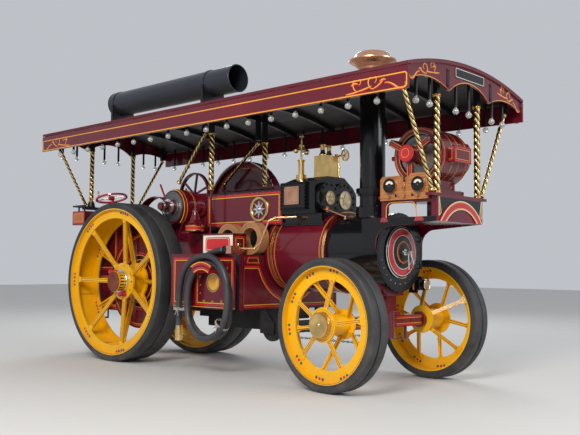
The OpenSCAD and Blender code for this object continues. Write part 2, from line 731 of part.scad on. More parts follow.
module door_handles() color("#c9c9c9") from_front() {
    x0 = smokebox_x1 + 2 * gap + 50;
    xcyl(34, x0, x0 + 14, 0, boiler_z);
    xcyl(16, x0, x0 + 90, 0, boiler_z);
    rod([x0 + 50, 0, boiler_z], [x0 + 50, 12, boiler_z - 190], 10);
    rod([x0 + 78, 0, boiler_z], [x0 + 78, 60, boiler_z - 130], 10);
}

module copper_pipes() color("#c77c50") from_axle() {
    r = 13;
    x1 = cyl_x1 + front_shift;
    y0 = 70 - tank_half_w;
    pts = [[2325, y0, 1490], [2500, y0 + 90, 1490], [2560, y0 + 130, 1560], [x1 - 500, -620, 1810],
        [x1 - 440, -560, 1850], [x1 - 240, -430, 1858], [x1 - 240, -330 - gap, 1858]];
    for (i = [0 : len(pts) - 2]) {
        rod(pts[i], pts[i + 1], r);
        translate(pts[i]) sphere(r = r + 2);
    }
    translate(pts[0]) sphere(r = 30);
    block(2295, 2355, y0 - 30, y0 + 30, tank_top_z + gap, 1480);
    // block that the suction hose is coupled to
    block(2290.7, 2380, -965, 30 - tank_half_w, tank_top_z + 10.3, 1520);
    // pipe from the front cover into the smokebox
    rod([x1 + 66, -250, 1945], [x1 + 340, -250, 1850], 14);
    translate([x1 + 340, -250, 1850]) sphere(r = 16);
    zcyl(14, 1820, 1850, x1 + 340, -250);
    zcyl(24, 1816.3, 1826, x1 + 340, -250);
    xcyl(34, x1 + 55.3, x1 + 75, -250, 1945);
}

module headlamp() color("#1a1a1c") from_front() {
    // oil lamp on a bracket at the left of the smokebox
    block(3900, 3925, 385, 420, 1030, 1258);
    block(3900, 4000, 385, 420, 1000, 1030);
    zcyl(66, 1030, 1150, 3990, 470);
    block(3925, 3990, 400, 430, 1010, 1030);
    xcyl(58, 3990, 4070, 470, 1092);
    xcyl(66, 4070, 4084, 470, 1092);
    zcone(66, 30, 1150, 1185, 3990, 470);
}

// Canopy

module roof_slice(t) { intersection() {
    translate([0, roof_c]) difference() {
        circle(r = roof_R, $fn = 360);
        circle(r = roof_R - t, $fn = 360);
    }
    translate([-half_w, eave_z - 60]) square([canopy_w, roof_rise + 100]);
} }

module canopy_roof() color("#4a0d18") from_axle() {
    difference() {
        cross_plate(canopy_x0, canopy_x1) roof_slice(roof_t);
        zcyl(chimney_r + 40, 3000, 3600, chimney_x + front_shift);
    }
}

module canopy_boards() color("#6d0f1c") from_axle() {
    y = half_w - 2;
    both_sides() {
        block(canopy_x0, canopy_x1, -y, -y + board_t, fascia_z, eave_z - roof_t - 8);
        block(canopy_x0, canopy_x1, -half_w, -half_w + eave_rail_t,
            eave_z - roof_t - 62, eave_z - roof_t - 8);
    }
    for (x = [canopy_x0 + 20, canopy_x1 - 20 - board_t]) cross_plate(x, x + board_t) end_board();
}

// Scalloped board across each end: three arches under the roof's curve
module end_board() {
    w = half_w - 2 - board_t - gap;
    difference() {
        intersection() {
            translate([0, roof_c]) circle(r = roof_R - roof_t - gap, $fn = 360);
            translate([-w, fascia_z + 104]) square([2 * w, 400]);
        }
        translate([0, 2530]) circle(r = 640, $fn = 180);
        for (s = [-1, 1]) translate([s * 760, 2240]) circle(r = 870, $fn = 180);
    }
}

module canopy_beams() color("#16161a") from_axle() {
    w = half_w - eave_rail_t - gap;
    // cross timbers under the roof
    for (x = concat([-700, 0, 700, 1440, 2140], [for (x = [2840, 3370, 3990]) x + front_shift]))
        cross_plate(x, x + 50) difference() {
            intersection() {
                translate([0, roof_c]) circle(r = roof_R - roof_t - gap, $fn = 360);
                translate([-w, eave_z - 110]) square([2 * w, 400]);
            }
            translate([0, roof_c - 62]) circle(r = roof_R - roof_t, $fn = 360);
        }
    // brackets from the roof down to the pillars and the stays
    for (p = post_list())
        block(p[0] - 24, p[0] + 24, p[1] - 30, p[1] + 30, p[3] + gap, under_z(abs(p[1]) + 30) - 0.5);
    for (t = stay_list()) {
        c = (t[1][2] - t[0][2]) / norm(t[1] - t[0]);
        z0 = t[1][2] + 12 * c + (stay_r + 8) * sqrt(1 - c * c) + gap;
        block(t[1][0] - 26, t[1][0] + 26, t[1][1] - 26, t[1][1] + 26, z0, under_z(abs(t[1][1]) + 26) - 0.5);
    }
}

// Pillars: [x, y, foot z, top z]
function post_list() = concat(
    [for (s = [-1, 1]) [front_post_x, s * front_post_y, platform_z, post_top_z]],
    [[mid_post_x, mid_post_y, 2250, 2990], [left_post_x, left_post_y, rail_z, 2950]],
    [for (s = [-1, 1]) [rear_post_x, s * rear_post_y, 2240, post_top_z]]);
// Stays: [foot, top]
function stay_list() = concat(
    [for (s = [-1, 1]) [[front_post_x, s * 490, 2060], [front_post_x + 5, s * 1000, 3015]]],
    [for (s = [-1, 1]) [[rear_post_x, s * 478, 2201.2], [rear_post_x + 20, s * 950, 2990]]],
    [[[835, mid_post_y, 2390], [1340, mid_post_y, 2990]],
        [[860, left_post_y, 2440], [1510, left_post_y, 2950]]]);

// Three-lobed rod twisted about Z
module twisted(r, l) {
    linear_extrude(height = l, twist = -360 * l / twist_pitch, slices = ceil(9 * l / twist_pitch), $fn = 12)
        polygon([for (i = [0 : 11]) let (q = r * (0.8 + 0.2 * cos(90 * i)), a = 30 * i)
            [q * cos(a), q * sin(a)]]);
}

module pillars() color("#c9a24a") from_axle() {
    for (p = post_list()) translate([p[0], p[1], 0]) {
        translate([0, 0, p[2] + 20]) twisted(pillar_r, p[3] - p[2] - 40);
        zcyl(pillar_r + 9, p[2], p[2] + 32);
        zcyl(pillar_r + 9, p[3] - 32, p[3]);
    }
    // rod under the right middle pillar, down to the tank
    zcyl(14, tank_top_z + 10, 2250, mid_post_x, mid_post_y);
}

module stays() color("#c9a24a") from_axle() {
    for (t = stay_list()) {
        d = t[1] - t[0];
        l = norm(d);
        translate(t[0]) rotate([0, acos(d[2] / l), atan2(d[1], d[0])]) {
            translate([0, 0, 12]) twisted(stay_r, l - 24);
            for (z = [-12, l - 24]) zcyl(stay_r + 8, z, z + 36);
        }
    }
}

bulb_z = 2885;
function bulb_list() = concat(
    [for (i = [0 : 16], s = [-1, 1]) [-1170 + i * 355, s * 1060]],
    [for (y = [-860, -620, -130, 130, 620, 860], x = [canopy_x0 + 75, canopy_x1 - 110]) [x, y]]);

module lamp_holders() color("#17171a") from_axle() {
    for (b = bulb_list()) zcyl(16, bulb_z + 40, under_z(abs(b[1]) + 16) - 0.4, b[0], b[1]);
}

module lamp_bulbs() color("#d9d9d2") from_axle() {
    for (b = bulb_list()) translate([b[0], b[1], bulb_z]) {
        sphere(r = 33, $fn = 24);
        cylinder(r = 15, h = 40, $fn = 24);
    }
}

tube_y = -450;
tube_z = 3632;
tube_r = 172;
module roof_tube() color("#1c1f26") from_axle() {
    translate([-640, tube_y, tube_z]) rotate([0, 90, 0]) {
        ring(tube_r - 8, tube_r, 0, 2560);
        ring(tube_r, tube_r + 8, 90, 130);
        ring(tube_r, tube_r + 8, 2060, 2100);
    }
}

module tube_cradles() color("#202226") from_axle() {
    for (x = [-520, 1440]) {
        difference() {
            block(x - 20, x + 20, tube_y - 185, tube_y + 185, roof_z(tube_y + 185) - 2, tube_z - 40);
            xcyl(tube_r + 8.3, x - 30, x + 30, tube_y, tube_z);
            xcyl(roof_R, x - 30, x + 30, 0, roof_c);
        }
    }
}

// Dynamo at the front

module dynamo_bracket() color("#5c0d18") from_front() {
    h = platform_half_w;
    gusset = concat([[3860, 1480], [4040, 1480]],
        [for (a = [180 : -15 : 90]) [4210 + 170 * cos(a), 1540 + 168 * sin(a)]],
        [[platform_x1, shelf_z], [platform_x1, 1800], [3860, 1800]]);
    difference() {
        union() {
            // top tray, lower shelf, front board
            block(4060, platform_x1, -h + 10, h - 10, platform_z - 30, platform_z);
            block(3960, platform_x1, -h, h, shelf_z, 1790);
            block(platform_x1 - 24, platform_x1, -h, h, shelf_z, platform_z - 30);
            both_sides() block(platform_x1 - 80, platform_x1, -540, -h + 20, platform_z - 30, platform_z);
            // gussets beside the smokebox, and the arched side frames on them
            both_sides() {
                side_plate(-h - 16, -h) polygon(gusset);
                side_plate(-h - 16, -h + 10) difference() {
                    translate([4120, 1790]) square([platform_x1 - 4120, platform_z - 1790]);
                    translate([4190, 1785]) square([platform_x1 - 4260, 160]);
                }
            }
        }
        xcyl(smokebox_r + gap, 3300, smokebox_x1 + gap, 0, boiler_z, $fn = 144);
    }
}

module front_sign_arch() color("#c9a24a") from_front() {
    // blank arched board on the front of the dynamo bracket
    cross_plate(platform_x1, platform_x1 + 14) difference() {
        translate([0, 1475]) circle(r = 496);
        translate([0, 1475]) circle(r = 405);
        translate([-600, 900]) square([1200, shelf_z - 900]);
    }
}

module dynamo_frame() color("#6d0f1c") from_front() {
    r = dynamo_r;
    // yoke ring with a dark armature space, end spiders, bearings, feet and the terminal box
    translate([dynamo_x, 0, dynamo_z]) rotate([-90, 0, 0]) {
        ring(r - 75, r, -260, 260);
        ring(60.05, 92, -480, -330);
        ring(60.05, 92, 330, 380);
        for (a = [90, 210, 330]) rotate([0, 0, a]) {
            translate([80, -34, -420]) cube([r - 110, 68, 40]);
            translate([r - 60, -34, -420]) cube([40, 68, 165]);
            translate([80, -34, 340]) cube([r - 110, 68, 30]);
            translate([r - 60, -34, 255]) cube([40, 68, 115]);
        }
    }
    block(dynamo_x - 240, dynamo_x + 240, -250, 250, platform_z, platform_z + 60);
    block(dynamo_x - 160, dynamo_x + 160, -200, 200, platform_z + 60, dynamo_z - r + 60);
    block(dynamo_x + r - 40, dynamo_x + r + 60, -140, 200, dynamo_z - 80, dynamo_z + 90);
    xcyl(24, dynamo_x - r - 60, dynamo_x - r + 20, -200, dynamo_z);
}

module dynamo_rotor() color("#4d4f55") from_front() {
    translate([dynamo_x, 0, dynamo_z]) rotate([-90, 0, 0]) {
        translate([0, 0, -490]) cylinder(r = 60, h = 1040);
        translate([0, 0, -250]) cylinder(r = dynamo_r - 90, h = 480);
        ring(55, pulley_r, 395, 545);
    }
}

module switchboard() color("#c07b32") from_front() {
    // wooden board on the side of the tray with two round meters and the switches
    y0 = -platform_half_w - 50;
    side_plate(y0, y0 + 22) polygon([[4130, 1975], [4715, 1975], [4715, 2215], [4690, 2240], [4510, 2240],
        [4470, 2205], [4400, 2205], [4370, 2225], [4160, 2225], [4130, 2195]]);
    for (x = [4265, 4610]) ycyl(76, y0 - 30, y0, x, 2125);
    ycyl(12, y0 - 60, y0, 4437, 2100);
    for (x = [4250, 4437, 4600]) block(x - 12, x + 12, y0 - 30, y0, 2000, 2020);
    for (x = [4180, 4690]) block(x - 20, x + 20, y0 + 22, -platform_half_w - 16, 1985, 2020);
}

// Steering chains, each one straight run that the barrel takes in

chain_y = 364;
chain_z = 471.5;
chain_link_n = 26;
module chain_run(side) from_axle() {
    x1 = wheelbase + 18 - side * chain_y * sin(steer_rest);
    x0 = 2350;
    pitch = (x1 - x0) / chain_link_n;
    for (i = [0 : chain_link_n - 1])
        translate([x0 + pitch * (i + 0.5), side * chain_y, chain_z]) rotate([i % 2 == 0 ? 0 : 90, 0, 0])
            cube([pitch + 14, 26, 9], center = true);
}
module chain_right() color("#1c1c1e") chain_run(-1);
module chain_left() color("#1c1c1e") chain_run(1);

// Suction hose, hung on the right side tank

hose_x = 1975;
hose_y1 = -tank_half_w - 12;            // inner side of the coil
hose_w = 165;                           // two turns side by side
hose_z = 920;
hose_r = 425;                           // round ends of the coil
hose_l = 190;                           // straight stretch between them
hose_mid_y = hose_y1 - hose_w / 2;
module stadium(r, l) {
    for (z = [-l / 2, l / 2]) translate([hose_x, hose_z + z]) circle(r = r);
    translate([hose_x - r, hose_z - l / 2]) square([2 * r, l]);
}
module hose_coil() color("#26262b") from_axle() {
    side_plate(hose_y1 - hose_w, hose_y1) difference() {
        stadium(hose_r, hose_l);
        stadium(hose_r - 2.2 * hose_d, hose_l);
    }
}
// Routes of the two free stretches: coupling to coil, and coil to strainer
lead_route = [[2290, -930, 1475], [2210, -930, 1474], [2110, -928, 1462], [2010, -925, 1438],
    [1910, -922, 1404], [1820, -920, 1368]];
tail_r = 535;                           // bend of the hanging end
tail_route = concat([for (p = [[25, -1006], [40, -998], [55, -975], [70, -955], [82, -946], [90, -945]])
    [hose_x - tail_r * sin(p[0]), p[1], 1402 - tail_r * (1 - cos(p[0]))]],
    [[hose_x - tail_r, -940, 700], [hose_x - tail_r, -940, 560]]);
module sweep(route, r, n) {
    k = len(route);
    tangent = [for (i = [0 : k - 1]) let (d = route[min(i + 1, k - 1)] - route[max(i - 1, 0)]) d / norm(d)];
    side = [0, 1, 0];
    points = [for (i = [0 : k - 1])
        let (u = cross(tangent[i], side), a = u / norm(u), b = cross(tangent[i], a))
        for (j = [0 : n - 1]) route[i] + r * (a * cos(360 * j / n) + b * sin(360 * j / n))];
    faces = concat([[for (j = [0 : n - 1]) j]], [[for (j = [n - 1 : -1 : 0]) (k - 1) * n + j]],
        [for (i = [0 : k - 2], j = [0 : n - 1])
            [i * n + j, (i + 1) * n + j, (i + 1) * n + (j + 1) % n, i * n + (j + 1) % n]]);
    polyhedron(points, faces);
}
module hose_lead() color("#26262b") from_axle() { sweep(lead_route, hose_d / 2, 12); }
module hose_tail() color("#26262b") from_axle() { sweep(tail_route, hose_d / 2, 12); }
module hose_strainer() color("#a9855a") from_axle() {
    p = tail_route[len(tail_route) - 1];
    zcyl(41, p[2] - 50, p[2], p[0], p[1]);
    zcyl(48, p[2] - 180, p[2] - 50, p[0], p[1]);
}
// Coupling on the tank and the saddle that the coil hangs on
module hose_bracket() color("#8f1018") from_axle() {
    translate([hose_x, 0, hose_z + hose_l / 2]) rotate([90, 0, 0]) {
        r1 = hose_r - 2.2 * hose_d - 0.3;
        y1 = hose_w - hose_y1;
        for (c = [[r1 - 40, r1, tank_half_w, y1 + 8], [r1 - 40, r1 + 62, y1 + 6, y1 + 18]])
            intersection() {
                ring(c[0], c[1], c[2], c[3]);
                linear_extrude(height = 1200) polygon([[0, 0], [-280, 420], [280, 420]]);
            }
    }
}

boiler_barrel();
barrel_bands();
firebox_shell();
smokebox();
chimney();
chimney_cap();
cylinder_block();
cylinder_covers();
cylinder_fittings();
motion_covers();
hornplates();
gear_guards();
oil_can();
side_tanks();
toolbox();
toolbox_lid();
belt_coils();
tender();
tender_fittings();
rear_axle();
steering_gear();
controls();
perch_bracket();
copper_pipes();
headlamp();
canopy_roof();
canopy_boards();
canopy_beams();
pillars();
stays();
lamp_holders();
lamp_bulbs();
roof_tube();
tube_cradles();
dynamo_bracket();
dynamo_frame();
dynamo_rotor();
switchboard();
front_sign_arch();
smokebox_door();
door_handles();
flywheel();
front_axle();
wheel_rear_right();
tyre_rear_right();
wheel_rear_left();
tyre_rear_left();
wheel_front_right();
tyre_front_right();
wheel_front_left();
tyre_front_left();
chain_right();
chain_left();
hose_coil();
hose_lead();
hose_tail();
hose_strainer();
hose_bracket();
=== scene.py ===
# Showman's road locomotive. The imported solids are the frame, and this dresses them with paint,
# lining, rivets, lamps and small fittings. Lengths in the tables are millimetres from the rear axle.
import json
from math import acos, asin, atan2, ceil, cos, degrees, hypot, pi, radians, sin
import bpy
import bmesh
from mathutils import Matrix, Vector


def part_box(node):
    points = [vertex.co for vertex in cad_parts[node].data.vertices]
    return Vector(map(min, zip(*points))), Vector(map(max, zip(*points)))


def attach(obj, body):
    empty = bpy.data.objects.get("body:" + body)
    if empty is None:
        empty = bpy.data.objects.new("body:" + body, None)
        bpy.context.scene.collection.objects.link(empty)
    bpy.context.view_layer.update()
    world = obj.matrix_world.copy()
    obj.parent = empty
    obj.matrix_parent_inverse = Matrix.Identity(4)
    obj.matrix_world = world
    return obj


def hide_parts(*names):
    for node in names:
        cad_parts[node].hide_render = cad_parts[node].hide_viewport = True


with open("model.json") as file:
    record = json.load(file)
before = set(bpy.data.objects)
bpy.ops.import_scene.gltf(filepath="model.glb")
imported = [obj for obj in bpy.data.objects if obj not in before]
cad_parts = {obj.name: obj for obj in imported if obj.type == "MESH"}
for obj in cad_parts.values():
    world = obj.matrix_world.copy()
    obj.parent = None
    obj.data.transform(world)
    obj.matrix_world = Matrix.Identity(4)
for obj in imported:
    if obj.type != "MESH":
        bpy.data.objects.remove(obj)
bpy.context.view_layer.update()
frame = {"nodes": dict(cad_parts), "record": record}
nodes = frame["nodes"]

AXLE = -1.715                            # the rear axle in the frame, in metres
SHRINK = Matrix.Translation((AXLE, 0, 0)) @ Matrix.Scale(0.001, 4)
WHEELBASE, CHIMNEY_X, BOILER_Z = 3840, 3670, 1450
FRONT_TURN = -4                          # degrees: the front axle stands turned a little to the right


def at(x, y, z):
    return Vector((x / 1000 + AXLE, y / 1000, z / 1000))


# The camera, as solved from the photograph

def aim_camera(place, yaw, pitch, roll, lens):
    ahead = Vector((cos(pitch) * cos(yaw), cos(pitch) * sin(yaw), sin(pitch)))
    level = ahead.cross(Vector((0, 0, 1))).normalized()
    over = level.cross(ahead)
    right = level * cos(roll) + over * sin(roll)
    top = over * cos(roll) - level * sin(roll)
    data = bpy.data.cameras.new("camera")
    data.lens, data.sensor_width, data.clip_end = lens, 36, 100
    eye = bpy.data.objects.new("camera", data)
    bpy.context.scene.collection.objects.link(eye)
    turn = Matrix((right, top, -ahead)).transposed().to_4x4()
    eye.matrix_world = Matrix.Translation(place) @ turn
    bpy.context.scene.camera = eye


aim_camera((7.277, -7.151, 1.282), radians(132.65), radians(3.584), 0.0081, 48.87)

# Finishes: the steps and groups that several of them share

def new_group(name, inputs, outputs):
    group = bpy.data.node_groups.new(name, "ShaderNodeTree")
    for label, value in inputs:
        group.interface.new_socket(label, in_out="INPUT", socket_type="NodeSocketFloat").default_value = value
    for label in outputs:
        group.interface.new_socket(label, in_out="OUTPUT", socket_type="NodeSocketFloat")
    return group, group.nodes.new("NodeGroupInput"), group.nodes.new("NodeGroupOutput")


def noise(tree, source, scale, detail=3, rough=0.5):
    cloud = tree.nodes.new("ShaderNodeTexNoise")
    cloud.inputs["Detail"].default_value = detail
    cloud.inputs["Roughness"].default_value = rough
    tree.links.new(source, cloud.inputs["Vector"])
    feed(tree, cloud.inputs["Scale"], scale)
    return cloud.outputs["Fac"]


def ramp(tree, source, low, high, to_low=0.0, to_high=1.0):
    reach = tree.nodes.new("ShaderNodeMapRange")
    for label, value in (("From Min", low), ("From Max", high), ("To Min", to_low), ("To Max", to_high)):
        reach.inputs[label].default_value = value
    tree.links.new(source, reach.inputs["Value"])
    return reach.outputs["Result"]


def feed(tree, socket, value):
    """A number, a colour or another node's result, into a socket."""
    if isinstance(value, (int, float)):
        socket.default_value = value
    elif isinstance(value, tuple):
        socket.default_value = (*value, 1)
    else:
        tree.links.new(value, socket)


def times(tree, a, b, how="MULTIPLY"):
    reckon = tree.nodes.new("ShaderNodeMath")
    reckon.operation = how
    feed(tree, reckon.inputs[0], a)
    feed(tree, reckon.inputs[1], b)
    return reckon.outputs["Value"]


def split(tree, source):
    part = tree.nodes.new("ShaderNodeSeparateXYZ")
    tree.links.new(source, part.inputs["Vector"])
    return part.outputs


def stretched(tree, where, scale):
    stretch = tree.nodes.new("ShaderNodeMapping")
    stretch.inputs["Scale"].default_value = scale
    tree.links.new(where, stretch.inputs["Vector"])
    return stretch.outputs["Vector"]


def here(tree):
    return tree.nodes.new("ShaderNodeTexCoord").outputs["Object"]


def normal_z(tree):
    return split(tree, tree.nodes.new("ShaderNodeNewGeometry").outputs["Normal"])["Z"]


def make_ageing():
    """Broad tone, fine grain, and road dust that gathers low down and on what faces up."""
    group, given, result = new_group("ageing", (("Scale", 2.0), ("Grain Scale", 60.0)), ("Tone", "Grain", "Dust"))
    where = here(group)
    group.links.new(noise(group, where, given.outputs["Scale"]), result.inputs["Tone"])
    group.links.new(noise(group, where, given.outputs["Grain Scale"], 2), result.inputs["Grain"])
    low = ramp(group, split(group, where)["Z"], 1.1, 0.0)
    up = ramp(group, normal_z(group), 0.6, 1.0, 0.0, 0.5)
    patch = ramp(group, noise(group, where, 7.0, 5, 0.65), 0.42, 0.75)
    group.links.new(times(group, patch, times(group, low, up, "ADD")), result.inputs["Dust"])
    return group


def make_planks():
    """Boards that run along X: the gaps between them and a streaky grain."""
    group, given, result = new_group("planks", (("Width", 0.11),), ("Gap", "Grain"))
    where = here(group)
    across = times(group, times(group, split(group, where)["Y"], given.outputs["Width"], "DIVIDE"), 1.0, "FRACT")
    group.links.new(ramp(group, across, 0.0, 0.07, 1.0, 0.0), result.inputs["Gap"])
    group.links.new(noise(group, stretched(group, where, (1.2, 26, 26)), 1.6, 5, 0.6), result.inputs["Grain"])
    return group


AGEING = make_ageing()
PLANKS = make_planks()
DUST = (0.23, 0.19, 0.14)


def mix(tree, amount, a, b):
    blend = tree.nodes.new("ShaderNodeMix")
    blend.data_type = "RGBA"
    for label, value in (("Factor", amount), ("A", a), ("B", b)):
        feed(tree, blend.inputs[label], value)
    return blend.outputs["Result"]


def start_finish(name, scale, grain_scale):
    finish = bpy.data.materials.new(name)
    finish.use_nodes = True
    tree = finish.node_tree
    age = tree.nodes.new("ShaderNodeGroup")
    age.node_tree = AGEING
    age.inputs["Scale"].default_value, age.inputs["Grain Scale"].default_value = scale, grain_scale
    return finish, tree, tree.nodes["Principled BSDF"], age.outputs


def end_finish(tree, skin, colour, rough, height, strength, depth):
    tree.links.new(colour, skin.inputs["Base Color"])
    tree.links.new(rough, skin.inputs["Roughness"])
    bump = tree.nodes.new("ShaderNodeBump")
    bump.inputs["Strength"].default_value, bump.inputs["Distance"].default_value = strength, depth
    tree.links.new(height, bump.inputs["Height"])
    tree.links.new(bump.outputs["Normal"], skin.inputs["Normal"])


def aged(tree, age, low, high, a, b, dust):
    """Two colours that the broad tone mixes, under dust."""
    body = mix(tree, ramp(tree, age["Tone"], low, high), a, b)
    return mix(tree, times(tree, age["Dust"], dust), body, DUST)


def paint(name, colour, shade, rough=0.3, coat=0.6, dust=0.5, grain=0.08):
    """Brushed coach paint under varnish."""
    finish, tree, skin, age = start_finish(name, 2.2, 70)
    body = aged(tree, age, 0.3, 0.7, shade, colour, dust)
    uneven = ramp(tree, age["Tone"], 0.3, 0.7, rough - 0.05, rough + 0.05)
    uneven = times(tree, uneven, times(tree, age["Dust"], 0.5), "ADD")
    end_finish(tree, skin, body, uneven, age["Grain"], grain, 0.002)
    skin.inputs["Coat Weight"].default_value = coat
    skin.inputs["Coat Roughness"].default_value = 0.08
    skin.inputs["Specular IOR Level"].default_value = 0.3
    return finish


def metal(name, bright, dull, rough, grain=0.05):
    """Polished or bare metal with a slight tarnish."""
    finish, tree, skin, age = start_finish(name, 9.0, 120)
    skin.inputs["Metallic"].default_value = 1.0
    body = aged(tree, age, 0.35, 0.75, bright, dull, 0.25)
    uneven = ramp(tree, age["Tone"], 0.3, 0.75, rough, rough + 0.14)
    end_finish(tree, skin, body, uneven, age["Grain"], grain, 0.001)
    return finish


def rubber(name, dark, worn, rough, dust, grain):
    finish, tree, skin, age = start_finish(name, 3.0, 45)
    body = aged(tree, age, 0.32, 0.68, dark, worn, dust)
    uneven = ramp(tree, age["Grain"], 0.3, 0.7, rough - 0.06, rough + 0.06)
    end_finish(tree, skin, body, uneven, age["Grain"], grain, 0.004)
    return finish


def wood(name, light, dark, coat):
    finish, tree, skin, age = start_finish(name, 4.0, 90)
    vein = noise(tree, stretched(tree, here(tree), (2, 18, 40)), 1.5, 6, 0.62)
    body = mix(tree, ramp(tree, vein, 0.35, 0.66), light, dark)
    end_finish(tree, skin, body, ramp(tree, vein, 0.3, 0.7, 0.28, 0.42), vein, 0.12, 0.002)
    skin.inputs["Coat Weight"].default_value = coat
    return finish


def canopy_skin(name):
    """Painted canvas above, dark boards below."""
    finish, tree, skin, age = start_finish(name, 1.5, 260)
    boards = tree.nodes.new("ShaderNodeGroup")
    boards.node_tree = PLANKS
    under = mix(tree, boards.outputs["Grain"], (0.007, 0.004, 0.004), (0.016, 0.009, 0.007))
    under = mix(tree, boards.outputs["Gap"], under, (0.006, 0.004, 0.004))
    above = mix(tree, ramp(tree, age["Tone"], 0.3, 0.7), (0.36, 0.33, 0.28), (0.27, 0.24, 0.20))
    up = normal_z(tree)
    body = mix(tree, ramp(tree, up, 0.0, 0.1), under, above)
    rim = ramp(tree, times(tree, up, 0.0, "ABSOLUTE"), 0.02, 0.04, 1.0, 0.0)
    body = mix(tree, rim, body, (0.10, 0.004, 0.012))
    grain = boards.outputs["Grain"]
    end_finish(tree, skin, body, ramp(tree, grain, 0.3, 0.7, 0.4, 0.6), grain, 0.15, 0.003)
    return finish


def milky_glass(name):
    finish, tree, skin, age = start_finish(name, 20, 200)
    body = mix(tree, ramp(tree, age["Tone"], 0.3, 0.7), (0.86, 0.86, 0.82), (0.74, 0.75, 0.72))
    end_finish(tree, skin, body, ramp(tree, age["Tone"], 0.3, 0.7, 0.06, 0.12), age["Grain"], 0.02, 0.001)
    skin.inputs["Coat Weight"].default_value = 1.0
    skin.inputs["Transmission Weight"].default_value = 0.7
    return finish


FINISHES = {name: make(name, *look) for make, name, *look in (
    (paint, "maroon_paint", (0.135, 0.005, 0.016), (0.100, 0.004, 0.012), 0.22, 0.5, 0.12),
    (paint, "black_gloss", (0.006, 0.006, 0.008), (0.004, 0.004, 0.005), 0.20, 0.3, 0.05),
    (paint, "black_paint", (0.010, 0.010, 0.012), (0.006, 0.006, 0.007), 0.40, 0.1, 0.15),
    (canopy_skin, "roof_paint"),
    (paint, "red_paint", (0.50, 0.012, 0.020), (0.38, 0.008, 0.014), 0.26, 0.8, 0.3),
    (paint, "wheel_paint", (0.88, 0.47, 0.001), (0.80, 0.40, 0.001), 0.36, 0.15, 0.2),
    (rubber, "tyre_rubber", (0.022, 0.023, 0.027), (0.044, 0.044, 0.046), 0.62, 0.30, 0.35),
    (rubber, "hose_rubber", (0.030, 0.031, 0.038), (0.050, 0.050, 0.056), 0.45, 0.3, 0.5),
    (metal, "brass", (0.86, 0.60, 0.24), (0.62, 0.41, 0.15), 0.16),
    (metal, "copper", (0.86, 0.46, 0.30), (0.62, 0.30, 0.18), 0.20),
    (metal, "hub_copper", (0.40, 0.115, 0.065), (0.27, 0.07, 0.04), 0.26),
    (metal, "polished_steel", (0.80, 0.80, 0.80), (0.58, 0.58, 0.58), 0.15),
    (metal, "bare_steel", (0.30, 0.30, 0.31), (0.17, 0.165, 0.16), 0.38, 0.12),
    (paint, "tube_paint", (0.022, 0.025, 0.036), (0.014, 0.016, 0.024), 0.36, 0.3, 0.3),
    (rubber, "belt_leather", (0.52, 0.25, 0.105), (0.38, 0.18, 0.07), 0.55, 0.3, 0.4),
    (milky_glass, "bulb_glass"),
    (wood, "varnished_wood", (0.52, 0.20, 0.045), (0.24, 0.075, 0.018), 0.7),
    (paint, "board_paint", (0.50, 0.15, 0.028), (0.40, 0.11, 0.020), 0.35, 0.4, 0.2),
    (paint, "gold_line", (0.80, 0.42, 0.045), (0.66, 0.32, 0.030), 0.32, 0.5, 0.2),
    (paint, "red_line", (0.62, 0.014, 0.018), (0.50, 0.010, 0.014), 0.3, 0.5, 0.2),
    (paint, "spoke_line", (0.24, 0.03, 0.05), (0.18, 0.02, 0.035), 0.3, 0.5, 0.2),
    (paint, "green_paint", (0.010, 0.16, 0.13), (0.006, 0.10, 0.085), 0.25, 0.6, 0.1),
    (paint, "pink_paint", (0.70, 0.012, 0.085), (0.55, 0.008, 0.06), 0.25, 0.6, 0.1),
    (paint, "ivory_paint", (0.80, 0.77, 0.66), (0.70, 0.66, 0.55), 0.3, 0.5, 0.1),
    (rubber, "string", (0.40, 0.38, 0.33), (0.30, 0.28, 0.24), 0.8, 0.1, 0.5),
)}

for entry in frame["record"]["subparts"]:
    mesh = nodes[entry["node"]].data
    mesh.materials.clear()
    mesh.materials.append(FINISHES[entry["material_slot"]])

# Making and placing

# A face of the frame: its normal, and 1 where the frame's axis runs to the right for someone who faces it, or -1
SIDES = {"right": ((0, -1, 0), 1), "left": ((0, 1, 0), -1), "front": ((1, 0, 0), 1), "back": ((-1, 0, 0), -1)}
FLANKS = ("right", "left")


def move(x, y, z):
    return Matrix.Translation((x, y, z))


def spun(angle, axis="Z"):
    """A turn about an axis, in degrees."""
    return Matrix.Rotation(radians(angle), 4, axis)


def along_z(way):
    return way.to_track_quat("Z", "Y").to_matrix().to_4x4()


def facing(origin, normal, up=(0, 0, 1)):
    """A place whose own Z is the normal, with Y up it and X to its right."""
    normal, up = Vector(normal).normalized(), Vector(up)
    right = up.cross(normal).normalized()
    return Matrix.Translation(origin) @ Matrix((right, normal.cross(right), normal)).transposed().to_4x4()


def face(side, depth, u=0, v=0):
    """The place on a face at its own depth from the centre; u is x on the sides and y on the ends, v is z."""
    normal, flip = Vector(SIDES[side][0]), SIDES[side][1]
    up = Vector((0, 0, 1))
    return facing(normal * depth + up.cross(normal) * flip * u + up * v, normal)


def spots(side, depth, us, vs):
    return [face(side, depth, u, v) for u in us for v in vs]


def rectangle(u0, u1, v0, v1):
    return [(u0, v0), (u1, v0), (u1, v1), (u0, v1)]


def panel(side, u0, u1, v0, v1):
    """A rectangle between two of the frame's own lengths, as it is drawn on a face."""
    flip = SIDES[side][1]
    return rectangle(*sorted((u0 * flip, u1 * flip)), v0, v1)


def mirrored(outline, flip):
    return [(flip * u, v) for u, v in outline]


def arc(u, v, r, start, end, steps):
    """Points on a circle from one angle to another, in degrees."""
    turns = [radians(start + (end - start) * i / steps) for i in range(steps + 1)]
    return [(u + r * cos(a), v + r * sin(a)) for a in turns]


